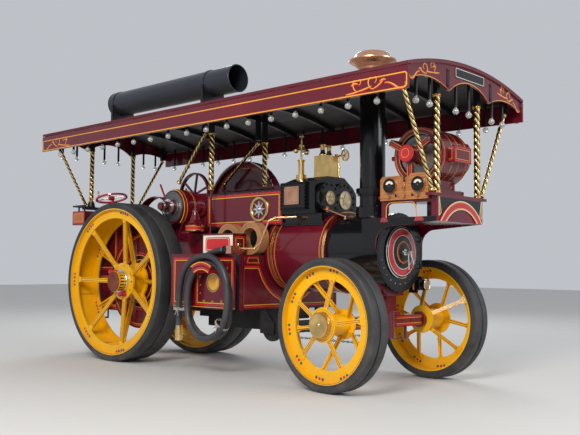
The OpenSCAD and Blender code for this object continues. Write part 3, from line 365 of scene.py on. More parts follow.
def ring(count, r, u=0, v=0, first=0):
    """Points spaced evenly round a circle; first is a share of one space."""
    return [(u + r * cos(a), v + r * sin(a)) for a in [2 * pi * (i + first) / count for i in range(count)]]


def star(points, tip, root):
    return [(sin(pi * i / points) * r, cos(pi * i / points) * r) for i in range(2 * points)
            for r in [(tip, root)[i % 2]]][::-1]


def join(whole, part, places=(Matrix(),)):
    """Adds a part to a whole, once at each place."""
    mould = bpy.data.meshes.new("mould")
    part.to_mesh(mould)
    part.free()
    for place in places:
        copy = mould.copy()
        copy.transform(place)
        if place.determinant() < 0:
            copy.flip_normals()
        whole.from_mesh(copy)
        bpy.data.meshes.remove(copy)
    bpy.data.meshes.remove(mould)


def block(bm, x0, x1, y0, y1, z0, z1, edge=0.0):
    size = Matrix.Diagonal((x1 - x0, y1 - y0, z1 - z0, 1))
    middle = move((x0 + x1) / 2, (y0 + y1) / 2, (z0 + z1) / 2)
    made = bmesh.ops.create_cube(bm, size=1, matrix=middle @ size)["verts"]
    if edge:
        edges = list({e for v in made for e in v.link_edges})
        bmesh.ops.bevel(bm, geom=edges, offset=edge, offset_type="OFFSET", segments=2, profile=0.5,
                        affect="EDGES", material=-1)


def rod(bm, a, b, r0, r1=None, sides=20):
    a, b = Vector(a), Vector(b)
    bmesh.ops.create_cone(bm, cap_ends=True, segments=sides, radius1=r0, radius2=r0 if r1 is None else r1,
                          depth=(b - a).length, matrix=Matrix.Translation((a + b) / 2) @ along_z(b - a))


def ball(bm, centre, r, squash=1.0, place=Matrix(), detail=2):
    bmesh.ops.create_icosphere(bm, subdivisions=detail, radius=r,
                               matrix=place @ Matrix.Translation(centre) @ Matrix.Diagonal((1, 1, squash, 1)))


def turned(bm, place, profile, sides=32):
    """A profile of (radius, height) turned about the place's Z."""
    part = bmesh.new()
    line = [part.verts.new((r, 0, h)) for r, h in profile]
    edges = [part.edges.new(pair) for pair in zip(line, line[1:])]
    bmesh.ops.spin(part, geom=line + edges, cent=(0, 0, 0), axis=(0, 0, 1), dvec=(0, 0, 0), angle=2 * pi,
                   steps=sides, use_merge=True)
    bmesh.ops.remove_doubles(part, verts=part.verts[:], dist=0.02)
    bmesh.ops.recalc_face_normals(part, faces=part.faces[:])
    join(bm, part, [place])


def flat_ring(bm, place, r0, r1, low, high, sides):
    turned(bm, place, [(r0, low), (r1, low), (r1, high), (r0, high), (r0, low)], sides)


def hoop(bm, place, r, width, rise, sides=48):
    """A flat ring round the place, with its foot a little under the surface."""
    flat_ring(bm, place, r - width / 2, r + width / 2, -0.5, rise, sides)


def band(bm, place, r, width, rise, sides=64):
    """A flat band round a cylinder, from the place's origin along its Z."""
    flat_ring(bm, place, r - 0.5, r + rise, 0, width, sides)


def trimmed(part, cuts, v=0):
    """The part without what stands before each of some planes through (0, v)."""
    for normal in cuts:
        bmesh.ops.bisect_plane(part, geom=part.verts[:] + part.edges[:] + part.faces[:], plane_co=(0, v, 0),
                               plane_no=normal, clear_outer=True)
    return part


def rings(area, place, rows, rise, sides, body="engine"):
    """Flat rings about one centre: a radius, a width and a finish each."""
    for r, width, finish in rows:
        hoop(coat(area, finish, body), place, r, width, rise, sides)


def part_hoop(bm, place, r, width, rise, sides, cuts, v=0):
    line = bmesh.new()
    hoop(line, Matrix(), r, width, rise, sides)
    join(bm, trimmed(line, cuts, v), [place])


def rim_of(part, width):
    return bmesh.ops.inset_region(part, faces=part.faces[:], thickness=width, use_even_offset=True,
                                  use_boundary=True)["faces"]


def drawn(outline, corner, dip, inset=0.0):
    """A flat face of an outline, drawn in by the inset, with its corners rounded."""
    part = bmesh.new()
    part.faces.new([part.verts.new((u, v, 0)) for u, v in outline])
    part.normal_update()
    if inset:
        bmesh.ops.delete(part, geom=rim_of(part, inset), context="FACES")
    if corner:
        bmesh.ops.bevel(part, geom=part.verts[:], offset=corner, offset_type="OFFSET", segments=4, profile=dip,
                        affect="VERTICES", material=-1)
    return part


def raised(bm, place, part, rise):
    top = bmesh.ops.extrude_face_region(part, geom=part.faces[:], use_keep_orig=True)["geom"]
    bmesh.ops.translate(part, verts=[g for g in top if isinstance(g, bmesh.types.BMVert)], vec=(0, 0, rise))
    bmesh.ops.recalc_face_normals(part, faces=part.faces[:])
    join(bm, part, [place])


def plate(bm, place, outline, rise=1.5, corner=0.0, dip=0.5):
    raised(bm, place, drawn(outline, corner, dip), rise)


def strip(bm, place, outline, width, rise=1.5, corner=0.0, dip=0.5, inset=0.0):
    """A flat closed line round an outline."""
    part = drawn(outline, corner, dip, inset)
    rim = rim_of(part, width)
    bmesh.ops.delete(part, geom=[f for f in part.faces if f not in rim], context="FACES")
    raised(bm, place, part, rise)


def studs(bm, places, r, rise):
    """Round-headed rivets."""
    part = bmesh.new()
    bmesh.ops.create_uvsphere(part, u_segments=8, v_segments=4, radius=1, matrix=Matrix.Diagonal((r, r, rise, 1)))
    join(bm, part, places)


def nuts(bm, places, r, rise):
    """Six-sided nuts, each on a thin washer."""
    part = bmesh.new()
    for sides, foot, top, height in ((6, r, r * 0.92, rise), (10, r * 1.35, r * 1.35, rise * 0.2)):
        bmesh.ops.create_cone(part, cap_ends=True, segments=sides, radius1=foot, radius2=top, depth=height,
                              matrix=move(0, 0, height / 2))
    join(bm, part, places)


WORK = {}


def work(name, finish, body="engine", slot=None, angle=35, place=SHRINK):
    """The mesh that a piece is gathered in, made into the piece at the end."""
    if name not in WORK:
        WORK[name] = (bmesh.new(), finish, body, slot, angle, place)
    return WORK[name][0]


def coat(area, finish, body="engine"):
    """The piece that gathers one finish of an area."""
    return work(area + "_" + finish, finish, body)


def lining(area, place, outline, corner=18, red=(20, 16), gold=(46, 11)):
    """A red line with a gold one inside it: each an inset and a width."""
    for finish, (inset, width) in (("red_line", red), ("gold_line", gold)):
        strip(coat(area, finish), place, outline, width, 1.2, max(corner - inset * 0.3, 2), inset=inset)


def lined_panel(area, side, depth, u0, u1, v0, v1, **ways):
    lining(area, face(side, depth), panel(side, u0, u1, v0, v1), **ways)


def shaded(mesh, angle):
    """Smooth, with a crease at each edge that bends more than the angle."""
    bm = bmesh.new()
    bm.from_mesh(mesh)
    for edge in bm.edges:
        edge.smooth = len(edge.link_faces) == 2 and edge.calc_face_angle(9) < radians(angle)
    for facet in bm.faces:
        facet.smooth = True
    bm.to_mesh(mesh)
    bm.free()


def piece(name, bm, finish, body, slot, angle, place):
    mesh = bpy.data.meshes.new(name)
    bm.to_mesh(mesh)
    bm.free()
    mesh.transform(place)
    shaded(mesh, angle)
    mesh.materials.append(FINISHES[finish])
    made = bpy.data.objects.new(name, mesh)
    bpy.context.scene.collection.objects.link(made)
    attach(made, body)
    return made


# The suction hose: from its coupling, nearly twice round its saddle, and down to the strainer

HOSE_X, HOSE_Z, HOSE_STRAIGHT = 1975, 920, 190
LEAD = [(2290, -930, 1475), (2250, -930, 1475), (2210, -930, 1474), (2160, -929, 1469), (2110, -928, 1462),
        (2060, -926, 1451), (2010, -925, 1438), (1960, -923, 1422), (1910, -922, 1404)]
# The coil: turn in degrees, radius and y of the hose's centre; the turns lie beside each other
COIL_KEYS = [(114, 387, -920), (300, 387, -920), (430, 304, -962), (480, 304, -962), (640, 387, -1006),
             (810, 387, -1006)]
# The hanging end swings out of the coil on a wide bend: angle from the top, and y
TAIL_BEND = [(8, -1006), (17, -1006), (26, -1006), (38, -1000), (50, -984), (62, -964), (75, -950), (86, -946)]
TAIL_R, TAIL_TOP = 535, 1402
TAIL_DROP = [(1440, -944, 740), (1440, -942, 650), (1440, -940, 560)]


def hose_points():
    points = list(LEAD)
    for turn in range(114, 811, 17):
        for (t0, r0, y0), (t1, r1, y1) in zip(COIL_KEYS, COIL_KEYS[1:]):
            if t0 <= turn <= t1:
                share = (turn - t0) / (t1 - t0)
                share *= share * (3 - 2 * share)
                r, y = r0 + (r1 - r0) * share, y0 + (y1 - y0) * share
        side = sin(radians(turn))
        lift = HOSE_STRAIGHT / 2 * (1 if side >= 0 else -1)
        points.append((HOSE_X + r * cos(radians(turn)), y, HOSE_Z + lift + r * side))
    for turn, y in TAIL_BEND:
        turn = radians(turn)
        points.append((HOSE_X - TAIL_R * sin(turn), y, TAIL_TOP - TAIL_R * (1 - cos(turn))))
    return points + TAIL_DROP


def hose_curve(points):
    data = bpy.data.curves.new("suction_hose", "CURVE")
    data.dimensions = "3D"
    data.bevel_depth, data.bevel_resolution, data.resolution_u = 0.0375, 4, 6
    data.use_fill_caps = True
    line = data.splines.new("BEZIER")
    line.bezier_points.add(len(points) - 1)
    for knot, point in zip(line.bezier_points, points):
        knot.co = point
        knot.handle_left_type = knot.handle_right_type = "AUTO"
    data.materials.append(FINISHES["hose_rubber"])
    made = bpy.data.objects.new("suction_hose", data)
    bpy.context.scene.collection.objects.link(made)
    return made


HOSE = [at(*point) for point in hose_points()]
hose = hose_curve(HOSE)
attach(hose, "engine")
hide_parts("hose_coil", "hose_lead", "hose_tail")
# The curve's own handles are settled once it is evaluated
settled = bpy.data.meshes.new_from_object(hose.evaluated_get(bpy.context.evaluated_depsgraph_get()))
bpy.data.meshes.remove(settled)

# Wheels: each drawn about its own axle, with Z outwards

BACKWARD = spun(180, "X")
REAR_WEB, REAR_HUB = 164.5, {1: 10, -1: -215}
FRONT_WEB, FRONT_OUT, FRONT_IN = 46, 110, -201
REAR_PLACE, FRONT_PLACE = (0, 737.5, 1067, 0), (WHEELBASE, 869, 690, FRONT_TURN)


def wheel_place(wheel, side):
    x, y, z, turn = wheel
    return SHRINK @ move(x, 0, 0) @ spun(turn) @ move(0, side * y, z) @ spun(-90 * side, "X")


def spoke_place(angle, r0, hub_z, r1, rim_z):
    """A place whose X runs out along a spoke and whose Z stands off its face, and the spoke's length."""
    tilt = atan2(rim_z - hub_z, r1 - r0)
    return spun(angle) @ move(r0, 0, hub_z) @ Matrix.Rotation(-tilt, 4, "Y"), (r1 - r0) / cos(tilt)


def wheel_work(end, hand, place):
    """What gathers the pieces of one wheel, and those that both kinds of wheel have."""
    def wear(tail, finish, slot=None):
        return work(f"{end}_{hand}_{tail}", finish, f"{end}_wheel_{hand}", slot, place=place)
    return wear, wear("rivets_pink", "pink_paint"), wear("rivets_green", "green_paint"), \
        wear("spoke_lines", "spoke_line"), wear("spoke_bolts", "wheel_paint")


def dress_rear_wheel(side, hand):
    wear, pink, green, lines, bolts = wheel_work("rear", hand, wheel_place(REAR_PLACE, side))
    for row in (1, -1):
        for i in range(7):
            angle = (i + (0.25 if row > 0 else 0.75)) * 360 / 7 + 12
            for k, rivet in enumerate((pink, green, pink, green)):
                studs(rivet, [spun(angle + (k - 1.5) * 3.1) @ move(936, 0, row * REAR_WEB + 8)], 19, 13)
            along, length = spoke_place(angle, 190, REAR_HUB[row], 925, row * REAR_WEB)
            lift = along @ move(0, 0, 10)
            strip(lines, lift, rectangle(100, length - 120, -17, 17), 7, 1.0, 4)
            nuts(bolts, [lift @ move(length - d, w, 0) for d, w in ((22, -34), (22, 34), (52, 0))], 11, 9)
            nuts(bolts, [lift @ move(d, 0, 0) for d in (18, 50)], 12, 10)
    # rim joints across the tread's bed, inside
    joints = wear("rim_joints", "spoke_line")
    for i in range(7):
        spot = spun((i + 0.5) * 360 / 7 + 12) @ move(964.4, 0, 0) @ spun(-90, "Y")
        for v in (8, -8):
            plate(joints, spot, rectangle(-140, 140, v - 2, v + 2), 0.8)
    hoop(wear("rim_line", "spoke_line"), move(0, 0, 212.5), 969, 4, 1.0, 96)
    # hub: bright ring, slotted drum, copper cap, driving pins
    steel = wear("hub_steel", "polished_steel")
    band(steel, move(0, 0, 22), 150, 30, 5)
    turned(steel, Matrix(), [(128, 56), (158, 56), (162, 60), (162, 66), (158, 70), (128, 70), (128, 56)], 64)
    slots = wear("hub_slots", "black_paint")
    for i in range(18):
        plate(slots, spun(i * 20) @ move(128, 0, 0) @ spun(90, "Y"), rectangle(-142, -76, -9, 9), 1.2, 4)
    turned(wear("hub_cap", "hub_copper", "copper"), move(0, 0, 167),
           [(0.02, 3), (118, 3), (124, 6), (132, 6), (138, 2), (138, -1), (0.02, -1)], 64)
    pins = wear("driving_pins", "red_paint")
    for angle, r in ((140, 196), (-66, 190)):
        spot = spun(angle) @ move(r, 0, 24)
        turned(pins, spot, [(0.02, 0), (30, 0), (34, 5), (34, 20), (24, 26), (22, 70), (30, 76), (34, 90),
                            (26, 108), (0.02, 116)], 20)
        plate(pins, spot @ move(0, 0, 38), [(-96, -14), (0, -26), (24, -12), (24, 12), (0, 26), (-96, 14)], 9)
    nuts(steel, [spun(a) @ move(222, 0, 24) for a in range(0, 360, 30)], 11, 12)


def dress_front_wheel(side, hand):
    wear, pink, green, lines, bolts = wheel_work("front", hand, wheel_place(FRONT_PLACE, side))
    for i in range(10):
        angle, outer = i * 36 + 8, i % 2 == 0
        for k, rivet in enumerate((green, pink, green)):
            spot = spun(angle + (k - 1) * 4.8) @ move(560, 0, FRONT_WEB)
            studs(rivet, [spot @ move(0, 0, 8), spot @ BACKWARD @ move(0, 0, 8)], 17, 12)
        along, length = spoke_place(angle, 110, FRONT_OUT if outer else FRONT_IN, 535, FRONT_WEB)
        lift = along @ move(0, 0, 7)
        for spot in (lift, along @ BACKWARD @ move(0, 0, 7)):
            strip(lines, spot, rectangle(82 if outer else 96, length - 74, -12, 12), 5, 1.0, 3)
        nuts(bolts, [lift @ move(length - 12, w, 0) for w in (-24, 24)], 8, 7)
        nuts(bolts, [lift @ move(46 if outer else 60, 0, 0)], 8, 8)
    hoop(wear("rim_line", "spoke_line"), move(0, 0, 116), 594, 4, 1.0, 80)
    turned(wear("hub_shell", "brass"), Matrix(), [(125, 132), (129, 132), (131, 138), (131, 178), (126, 186), (96, 190),
           (90, 187.5), (0.02, 187.5), (0.02, 185), (124, 185), (125, 132)], 64)
    brass = wear("hub_brass", "brass")
    turned(brass, Matrix(), [(125, 122), (136, 122), (140, 127), (136, 133), (125, 133), (125, 122)], 64)
    turned(brass, move(0, 0, 187), [(0.02, 8), (20, 7), (26, 2), (26, -1), (0.02, -1)], 24)
    hoop(lines, move(0, 0, 122), 158, 4, 1.0, 64)


for side, hand in ((-1, "right"), (1, "left")):
    dress_rear_wheel(side, hand)
    dress_front_wheel(side, hand)

# Motion cover: lined sheets, bright star in its brass ring, bolts along the top and foot

COVER_Y, COVER_X, COVER_Z = 358, (1262, 2608), (1782, 2199)
for side in FLANKS:
    lined_panel("motion_cover", side, COVER_Y, *COVER_X, *COVER_Z, corner=26)
    nuts(work("motion_bolts", "bare_steel"), spots(side, COVER_Y, range(1290, 2600, 100), (2188, 1793)), 6, 5)
STAR = face("right", COVER_Y, 2230, 1980)
turned(work("motion_star_ring", "brass"), STAR,
       [(118, -1), (156, -1), (156, 12), (150, 18), (124, 18), (118, 12), (118, -1)], 64)
plate(work("motion_star", "polished_steel"), STAR @ move(0, 0, 11.6), star(8, 112, 44), 3.5)
ball(work("motion_star", "polished_steel"), (0, 0, 0), 26, 0.4, STAR @ move(0, 0, 15))
for edge, rise in (((1262, 2608, 2199, 2214), 6), ((1262, 1276, 1782, 2199), 4)):
    plate(work("motion_edge", "black_gloss"), face("right", COVER_Y), rectangle(*edge), rise)

# Gear guard, gears and the cover round the axle

GUARD = face("right", 560.3, 800, 2040)
GUARD_CUTS = ((-1, 0, 0), (sin(radians(-50)), -cos(radians(-50)), 0))
for inset, width, finish in ((10, 14, "red_line"), (32, 7, "gold_line"), (160, 7, "gold_line"), (178, 14, "red_line")):
    lines = bmesh.new()
    band(lines, move(0, 0, -10 - inset - width), 260, width, 1.6, 96)
    join(coat("guard", finish), trimmed(lines, GUARD_CUTS), [GUARD])
part_hoop(coat("guard", "gold_line"), GUARD, 254, 11, 2.0, 96, GUARD_CUTS)

SHAFT = (700, 2070)
GEAR_R, TEETH = 214, 60
gears = work("second_shaft_gears", "bare_steel")
tooth = bmesh.new()
half_tooth = pi * GEAR_R / TEETH * 0.45
block(tooth, GEAR_R - 2, GEAR_R + 11, -half_tooth, half_tooth, -80, 0)
join(gears, tooth, [face("right", 480, *SHAFT) @ spun(i * 360 / TEETH) for i in range(TEETH)])
turned(gears, face("right", 480, *SHAFT),
       [(100, -1), (205, -1), (205, 4), (190, 6), (186, 2), (120, 2), (116, 8), (100, 8)], 64)
shaft_end = work("second_shaft_end", "polished_steel")
turned(shaft_end, face("right", 650, *SHAFT),
       [(0.02, 8), (28, 8), (34, 4), (70, 2), (72, -4), (72, -40), (69, -40)], 48)
turned(shaft_end, face("right", 560, *SHAFT), [(0.02, 5), (84, 5), (102, 2), (102, -20), (99, -20)], 48)
nuts(shaft_end, [face("right", 565, *spot) for spot in ring(8, 88, *SHAFT)], 9, 8)

PEAR_Y = 481.7
PEAR_C0, PEAR_R0, PEAR_C1, PEAR_R1 = (0, 1067), 650, (420, 1730), 160


def pear_outline(cut):
    """The gear cover's outline: two discs with their common tangents."""
    (x0, z0), (x1, z1) = PEAR_C0, PEAR_C1
    lean = degrees(atan2(z1 - z0, x1 - x0))
    spread = degrees(acos((PEAR_R0 - PEAR_R1) / hypot(x1 - x0, z1 - z0)))
    return arc(x0, z0, PEAR_R0 - cut, lean + spread, lean - spread + 360, 48) + \
        arc(x1, z1, PEAR_R1 - cut, lean - spread, lean + spread, 16)


for cut, width, finish in ((0, 14, "black_gloss"), (26, 14, "red_line"), (52, 8, "gold_line")):
    strip(coat("pear_cover", finish), face("right", PEAR_Y), pear_outline(cut), width, 1.6)
rings("pear_cover", face("right", PEAR_Y, *PEAR_C0),
      ((330, 40, "black_gloss"), (362, 8, "gold_line"), (392, 14, "red_line"), (296, 8, "gold_line")), 2.2, 72)
PEAR_BOLTS = [face("right", PEAR_Y, *spot) for spot in ring(16, 232, *PEAR_C0)]
studs(work("pear_cover_bolts", "maroon_paint"), PEAR_BOLTS, 13, 10)

# Bell can: brass bands, and a blank belt between gold lines

CAN = move(1200, -500, 1722)
can_brass = work("oil_can_brass", "brass")
for low, r in ((8, 126), (72, 126), (262, 42)):
    turned(can_brass, CAN, [(r - 3, low), (r + 3, low), (r + 5, low + 4), (r + 3, low + 9), (r - 3, low + 9)], 40)
band(work("oil_can_red", "red_line"), CAN @ move(0, 0, 24), 126, 42, 1.0, 40)
for low in (22, 64):
    band(work("oil_can_gold", "gold_line"), CAN @ move(0, 0, low), 126, 4, 1.8, 40)
turned(can_brass, CAN, [(0.02, 330), (12, 326), (16, 318), (10, 308), (0.02, 306)], 20)

# Tanks: lined panels, black riveted angles, nuts, the blank gold roundel

TANK_Y, ANGLE_Y, TANK_FRONT = 870, 878, 2430
TANK_NUTS = ((1736, 1262), (1736, 1160), (1736, 1058), (1736, 956), (1820, 868), (1975, 862), (2130, 868), (2212, 956),
             (2212, 1262))
ANGLE_STUDS = range(800, 1410, 34)
for side in FLANKS:
    for x0, x1 in ((1640, 2350), (1210, 1610)):
        lined_panel("tank_side", side, TANK_Y, x0, x1, 792, 1404, corner=20)
    black = work("tank_angles", "black_gloss")
    plate(black, face(side, ANGLE_Y), panel(side, 2372, 2430, 772, 1418), 3)
    plate(black, face(side, TANK_Y if side == "right" else ANGLE_Y), panel(side, 1190, 2430, 770, 786), 3)
    studs(black, spots(side, ANGLE_Y, (2401,), ANGLE_STUDS), 9, 8)
    plate(work("tank_foot_line", "gold_line"), face(side, TANK_Y), panel(side, 1240, 2360, 790, 798), 2)
    nuts(work("tank_nuts", "brass"), [face(side, TANK_Y, *spot) for spot in TANK_NUTS], 13, 16)
roundel = face("right", TANK_Y, 1975, 1085)
turned(work("tank_roundel", "gold_line"), roundel, [(0.02, 2.2), (88, 2.2), (92, 0), (92, -1)], 56)
for r, width, rise in ((106, 12, 4), (84, 4, 3.2)):
    hoop(work("tank_roundel_ring", "brass"), roundel, r, width, rise, 56)
for flip in (-1, 1):
    # an outline runs the same way round on both halves
    hollow = [(flip * 552 * sin(a), BOILER_Z - 552 * cos(a)) for a in [0.27 + 0.115 * i for i in range(10)]]
    outline = [(flip * 848, 790), (hollow[0][0], 790)] + hollow + [(flip * 848, hollow[-1][1])]
    lining("tank_front", face("front", TANK_FRONT), outline[::flip], corner=0, red=(14, 15), gold=(38, 10))
    for u0, u1, w0, w1 in ((848, 770, 848, 800), (748, 560, 780, 545)):
        corner_panel = [(flip * u0, 1404), (flip * u1, 1404), (flip * w1, 1306), (flip * w0, 1306)]
        lining("tank_front", face("front", TANK_FRONT), corner_panel[::flip], corner=0, red=(6, 8), gold=(20, 4))
studs(black, spots("front", TANK_FRONT + 8, (-832, 832), ANGLE_STUDS), 9, 8)
plate(black, face("front", TANK_FRONT), rectangle(-862, 862, 770, 786), 3)

# Toolbox: pale face with a blank red plate, lined end, screws

pale, RED_PLATE = work("toolbox_face", "ivory_paint"), rectangle(1812, 2238, 1462, 1626)
plate(pale, face("right", 850), rectangle(1766, 2284, 1436, 1650), 1.6, 4)
plate(work("toolbox_plate", "red_line"), face("right", 851.5), RED_PLATE, 4, 26, 0.15)
strip(pale, face("right", 855.4), RED_PLATE, 5, 0.8, 20, 0.15, 12)
lined_panel("toolbox_end", "front", 2290, -846, -644, 1434, 1650, corner=8, red=(14, 12), gold=(34, 8))
nuts(work("toolbox_screws", "brass"), spots("right", 855, (1828, 2222), (1476, 1612)), 5, 4)

# Twisted brass pillars and stays: deep three-start twists over a black core that paints shade into the grooves, between
# turned collars

TWIST = 225                              # the length of one full turn
# Each kind: piece, radius, the collars' radius, and how far the collars stand in from the ends
PILLAR, STAY = ("pillar_rods", 35.5, 45, 0), ("stay_rods", 23.5, 32, -12)


def twisted(bm, place, r, length):
    part = bmesh.new()
    loop = [part.verts.new((q * cos(a), q * sin(a), 0)) for a in [radians(15 * i) for i in range(24)]
            for q in [r * (0.66 + 0.34 * abs(cos(1.5 * a)) ** 0.8)]]
    edges = [part.edges.new(pair) for pair in zip(loop, loop[1:] + loop[:1])]
    steps = ceil(length / 14)
    bmesh.ops.spin(part, geom=loop + edges, cent=(0, 0, 0), axis=(0, 0, 1), dvec=(0, 0, length / steps),
                   angle=-2 * pi * length / TWIST, steps=steps)
    bmesh.ops.recalc_face_normals(part, faces=part.faces[:])
    join(bm, part, [place])


def support(kind, a, b):
    area, r, collar, end = kind
    a, b = Vector(a), Vector(b)
    place = Matrix.Translation(a) @ along_z(b - a)
    length = (b - a).length
    brass = work(area, "brass")
    twisted(brass, place @ move(0, 0, 10), r, length - 20)
    # a black rod inside the twist, showing in its grooves as painted shade
    rod(work(area + "_painted_groove_shade", "black_gloss"), place @ Vector((0, 0, 12)), place @ Vector((0, 0, length - 12)), r * 0.87)
    edge = collar - 1
    profile = [(r * 0.7, 0), (edge - 2, 0), (edge, 3), (edge, 8), (r, 13), (edge - 3, 18), (edge, 23), (edge - 3, 28),
               (r + 1, 31), (r * 0.7, 31)]
    for start, way in ((end, 1), (length - end, -1)):
        turned(brass, place @ move(0, 0, start) @ Matrix.Diagonal((1, 1, way, 1)), profile, 24)


for side in (-1, 1):
    support(PILLAR, (4765, side * 400, 2030), (4765, side * 400, 3030))
    support(PILLAR, (-1380, side * 380, 2240), (-1380, side * 380, 3030))
    support(STAY, (4765, side * 490, 2060), (4770, side * 1000, 3015))
    support(STAY, (-1380, side * 478, 2201.2), (-1360, side * 950, 2990))
support(PILLAR, (1475, -480, 2250), (1475, -480, 2990))
support(PILLAR, (1640, 322, 2345), (1640, 322, 2950))
support(STAY, (835, -480, 2390), (1340, -480, 2990))
support(STAY, (860, 322, 2440), (1510, 322, 2950))
rod(work("mid_pillar_foot", "maroon_paint"), (1475, -480, 1430), (1475, -480, 2250), 13.5)

# Scrolls in gold over red: each stroke is a curl that tightens, drawn as a thin flattened round line


def stroke(bm, place, points, width, flat=0.25):
    """A line through points that swells in its middle and tapers to its ends."""
    data = bpy.data.curves.new("stroke", "CURVE")
    data.dimensions, data.bevel_depth, data.bevel_resolution, data.use_fill_caps = "3D", 1.0, 1, True
    line = data.splines.new("POLY")
    line.points.add(len(points) - 1)
    for i, (point, (u, v)) in enumerate(zip(line.points, points)):
        point.co = (u, v, 0, 1)
        point.radius = width / 2 * (0.25 + 0.75 * sin(pi * (i + 0.5) / len(points)))
    holder = bpy.data.objects.new("stroke", data)
    drawn = bpy.data.meshes.new_from_object(holder)
    drawn.transform(Matrix.Diagonal((1, 1, flat, 1)))
    drawn.transform(place)
    bm.from_mesh(drawn)
    bpy.data.objects.remove(holder)
    bpy.data.curves.remove(data)
    bpy.data.meshes.remove(drawn)


def curl(u, v, heading, tight0, tight1, length, steps=56):
    """A stroke's points from u, v; its bend runs from tight0 to tight1, in turns per unit of length."""
    heading, points = radians(heading), []
    for i in range(steps + 1):
        points.append((u, v))
        t = i / steps
        heading += 2 * pi * (tight0 + (tight1 - tight0) * t * t) * length / steps
        u, v = u + cos(heading) * length / steps, v + sin(heading) * length / steps
    return points


# Start, heading, bends and length of each stroke, in units of the scroll's half height
SCROLL = [(-2.6, -0.62, 165, -0.12, -0.36, 4.6), (-2.6, -0.62, 186, 0.0, -0.04, 2.3), (-2.9, -0.60, 4, 0.01, 0.02, 3.0),
          (0.3, -0.62, 168, -0.13, -0.34, 4.5), (0.1, -0.58, 8, 0.055, -0.02, 2.5), (2.4, 0.05, 8, -0.09, 0.40, 4.6),
          (1.5, 0.35, 40, -0.14, -0.2, 1.2), (-3.9, 0.45, 35, -0.12, -0.10, 1.4)]


def scroll(place, size, mirror=1, width=0.15):
    for finish, shift, lift, swell in (("red_line", 0.11, 0.2, 1.9), ("gold_line", 0, 0.6, 1.5)):
        for one in SCROLL:
            points = [(mirror * size * p, size * (q - shift)) for p, q in curl(*one)]
            stroke(coat("canopy_scroll", finish), place @ move(0, 0, lift), points, size * width * swell, 0.12)


# Canopy: gold frames, scrolls and beading on the side boards, the ends' scrolls, straps and blank plate

CANOPY_X, BOARD_Y, BOARD_Z = (-1503, 4933), 1153, (2941, 3103)
gold, red = work("canopy_gold", "gold_line"), work("canopy_red", "red_line")
for side in FLANKS:
    board, flip = face(side, BOARD_Y), SIDES[side][1]
    u0, u1 = sorted((flip * CANOPY_X[0], flip * CANOPY_X[1]))
    strip(gold, board, rectangle(u0 + 10, u1 - 10, BOARD_Z[0] + 7, BOARD_Z[1] - 4), 11, 1.6, 20, 0.25)
    strip(red, board, rectangle(u0 + 24, u1 - 24, BOARD_Z[0] + 21, BOARD_Z[1] - 17), 3, 1.4, 16, 0.25)
    plate(gold, face(side, BOARD_Y + 0.5), rectangle(u0 + 2, u1 - 2, 3152, 3157), 1.4)
    for x, mirror in ((CANOPY_X[1] - 420, 1), (CANOPY_X[0] + 420, -1)):
        scroll(face(side, BOARD_Y, x, 3024), 64, mirror * flip)
# the roof's curve: its chord's half, its rise and its top
ROOF_HALF, ROOF_RISE, ROOF_TOP = 1155, 165, 3362
ROOF_R = (ROOF_HALF ** 2 + ROOF_RISE ** 2) / (2 * ROOF_RISE)


def roof_strip(bm, x0, x1, low, high, reach=1120):
    """A strip that follows the roof's curve across the canopy."""
    part = bmesh.new()
    corners = [(x0, ROOF_R + low), (x1, ROOF_R + low), (x1, ROOF_R + high), (x0, ROOF_R + high)]
    start = part.faces.new([part.verts.new((x, 0, z)) for x, z in corners])
    turn = asin(reach / ROOF_R)
    bmesh.ops.rotate(part, verts=part.verts[:], cent=(0, 0, 0), matrix=Matrix.Rotation(-turn, 3, "X"))
    bmesh.ops.spin(part, geom=start.verts[:] + start.edges[:] + [start], cent=(0, 0, 0), axis=(1, 0, 0), dvec=(0, 0, 0),
                   angle=2 * turn, steps=36)
    bmesh.ops.recalc_face_normals(part, faces=part.faces[:])
    join(bm, part, [move(0, 0, ROOF_TOP - ROOF_R)])


seams = work("roof_seams", "roof_paint")
for i in range(1, 9):
    x = CANOPY_X[0] + (CANOPY_X[1] - CANOPY_X[0]) * i / 9
    if abs(x - CHIMNEY_X) > 240:
        roof_strip(seams, x - 18, x + 18, -1, -0.2)
for x0 in (CANOPY_X[0] + 0.5, CANOPY_X[1] - 18.5):
    roof_strip(work("roof_edge", "maroon_paint"), x0, x0 + 18, -38, -32.4)
# ends: the blank plate, strap hinges and short scrolls
for side, depth in (("front", 4913), ("back", 1483)):
    flip, end, straps = SIDES[side][1], face(side, depth), work("end_straps", "black_gloss")
    for y in (-430, 430):
        plate(straps, end, rectangle(y - 21, y + 21, 3064, 3256), 6, 7)
        nuts(straps, spots(side, depth + 6, (y,), (3088, 3232)), 8, 6)
    if side == "front":
        plate(work("blank_plate", "black_gloss"), end, rectangle(-290, 290, 3196, 3302), 5, 8)
        rim = rectangle(-284, 284, 3202, 3296)
        strip(work("blank_plate_rim", "ivory_paint"), end @ move(0, 0, 4.6), rim, 6, 1.2, 6)
    else:
        scroll(face(side, depth, 0, 3248), 44)
    for way in (-1, 1):
        scroll(face(side, depth, way * 820, 3166) @ spun(-14 * way * flip), 48, way * flip, 0.19)
    for y, z, r, reach in ((0, 2530, 649, 39), (-760, 2240, 879, 22), (760, 2240, 879, 22)):
        stroke(gold, end, arc(flip * y, z, r, 90 - reach, 90 + reach, 24), 8)

# Roof tube: rolled rims and strap bolts

TUBE_X, TUBE_Y, TUBE_Z = -640, -450, 3632
for x in (0, 2552):
    turned(work("tube_rims", "tube_paint"), face("front", TUBE_X + x, TUBE_Y, TUBE_Z),
           [(172, 0), (175, 1), (177, 4), (175, 7), (172, 8)], 48)
nuts(work("tube_bolts", "bare_steel"),
     [facing((TUBE_X + x, TUBE_Y + 180 * cos(a), TUBE_Z + 180 * sin(a)), (0, cos(a), sin(a)), (1, 0, 0))
      for x in (98, 122, 2068, 2092) for a in (-0.9, 0.35, pi - 0.35)], 7, 8)

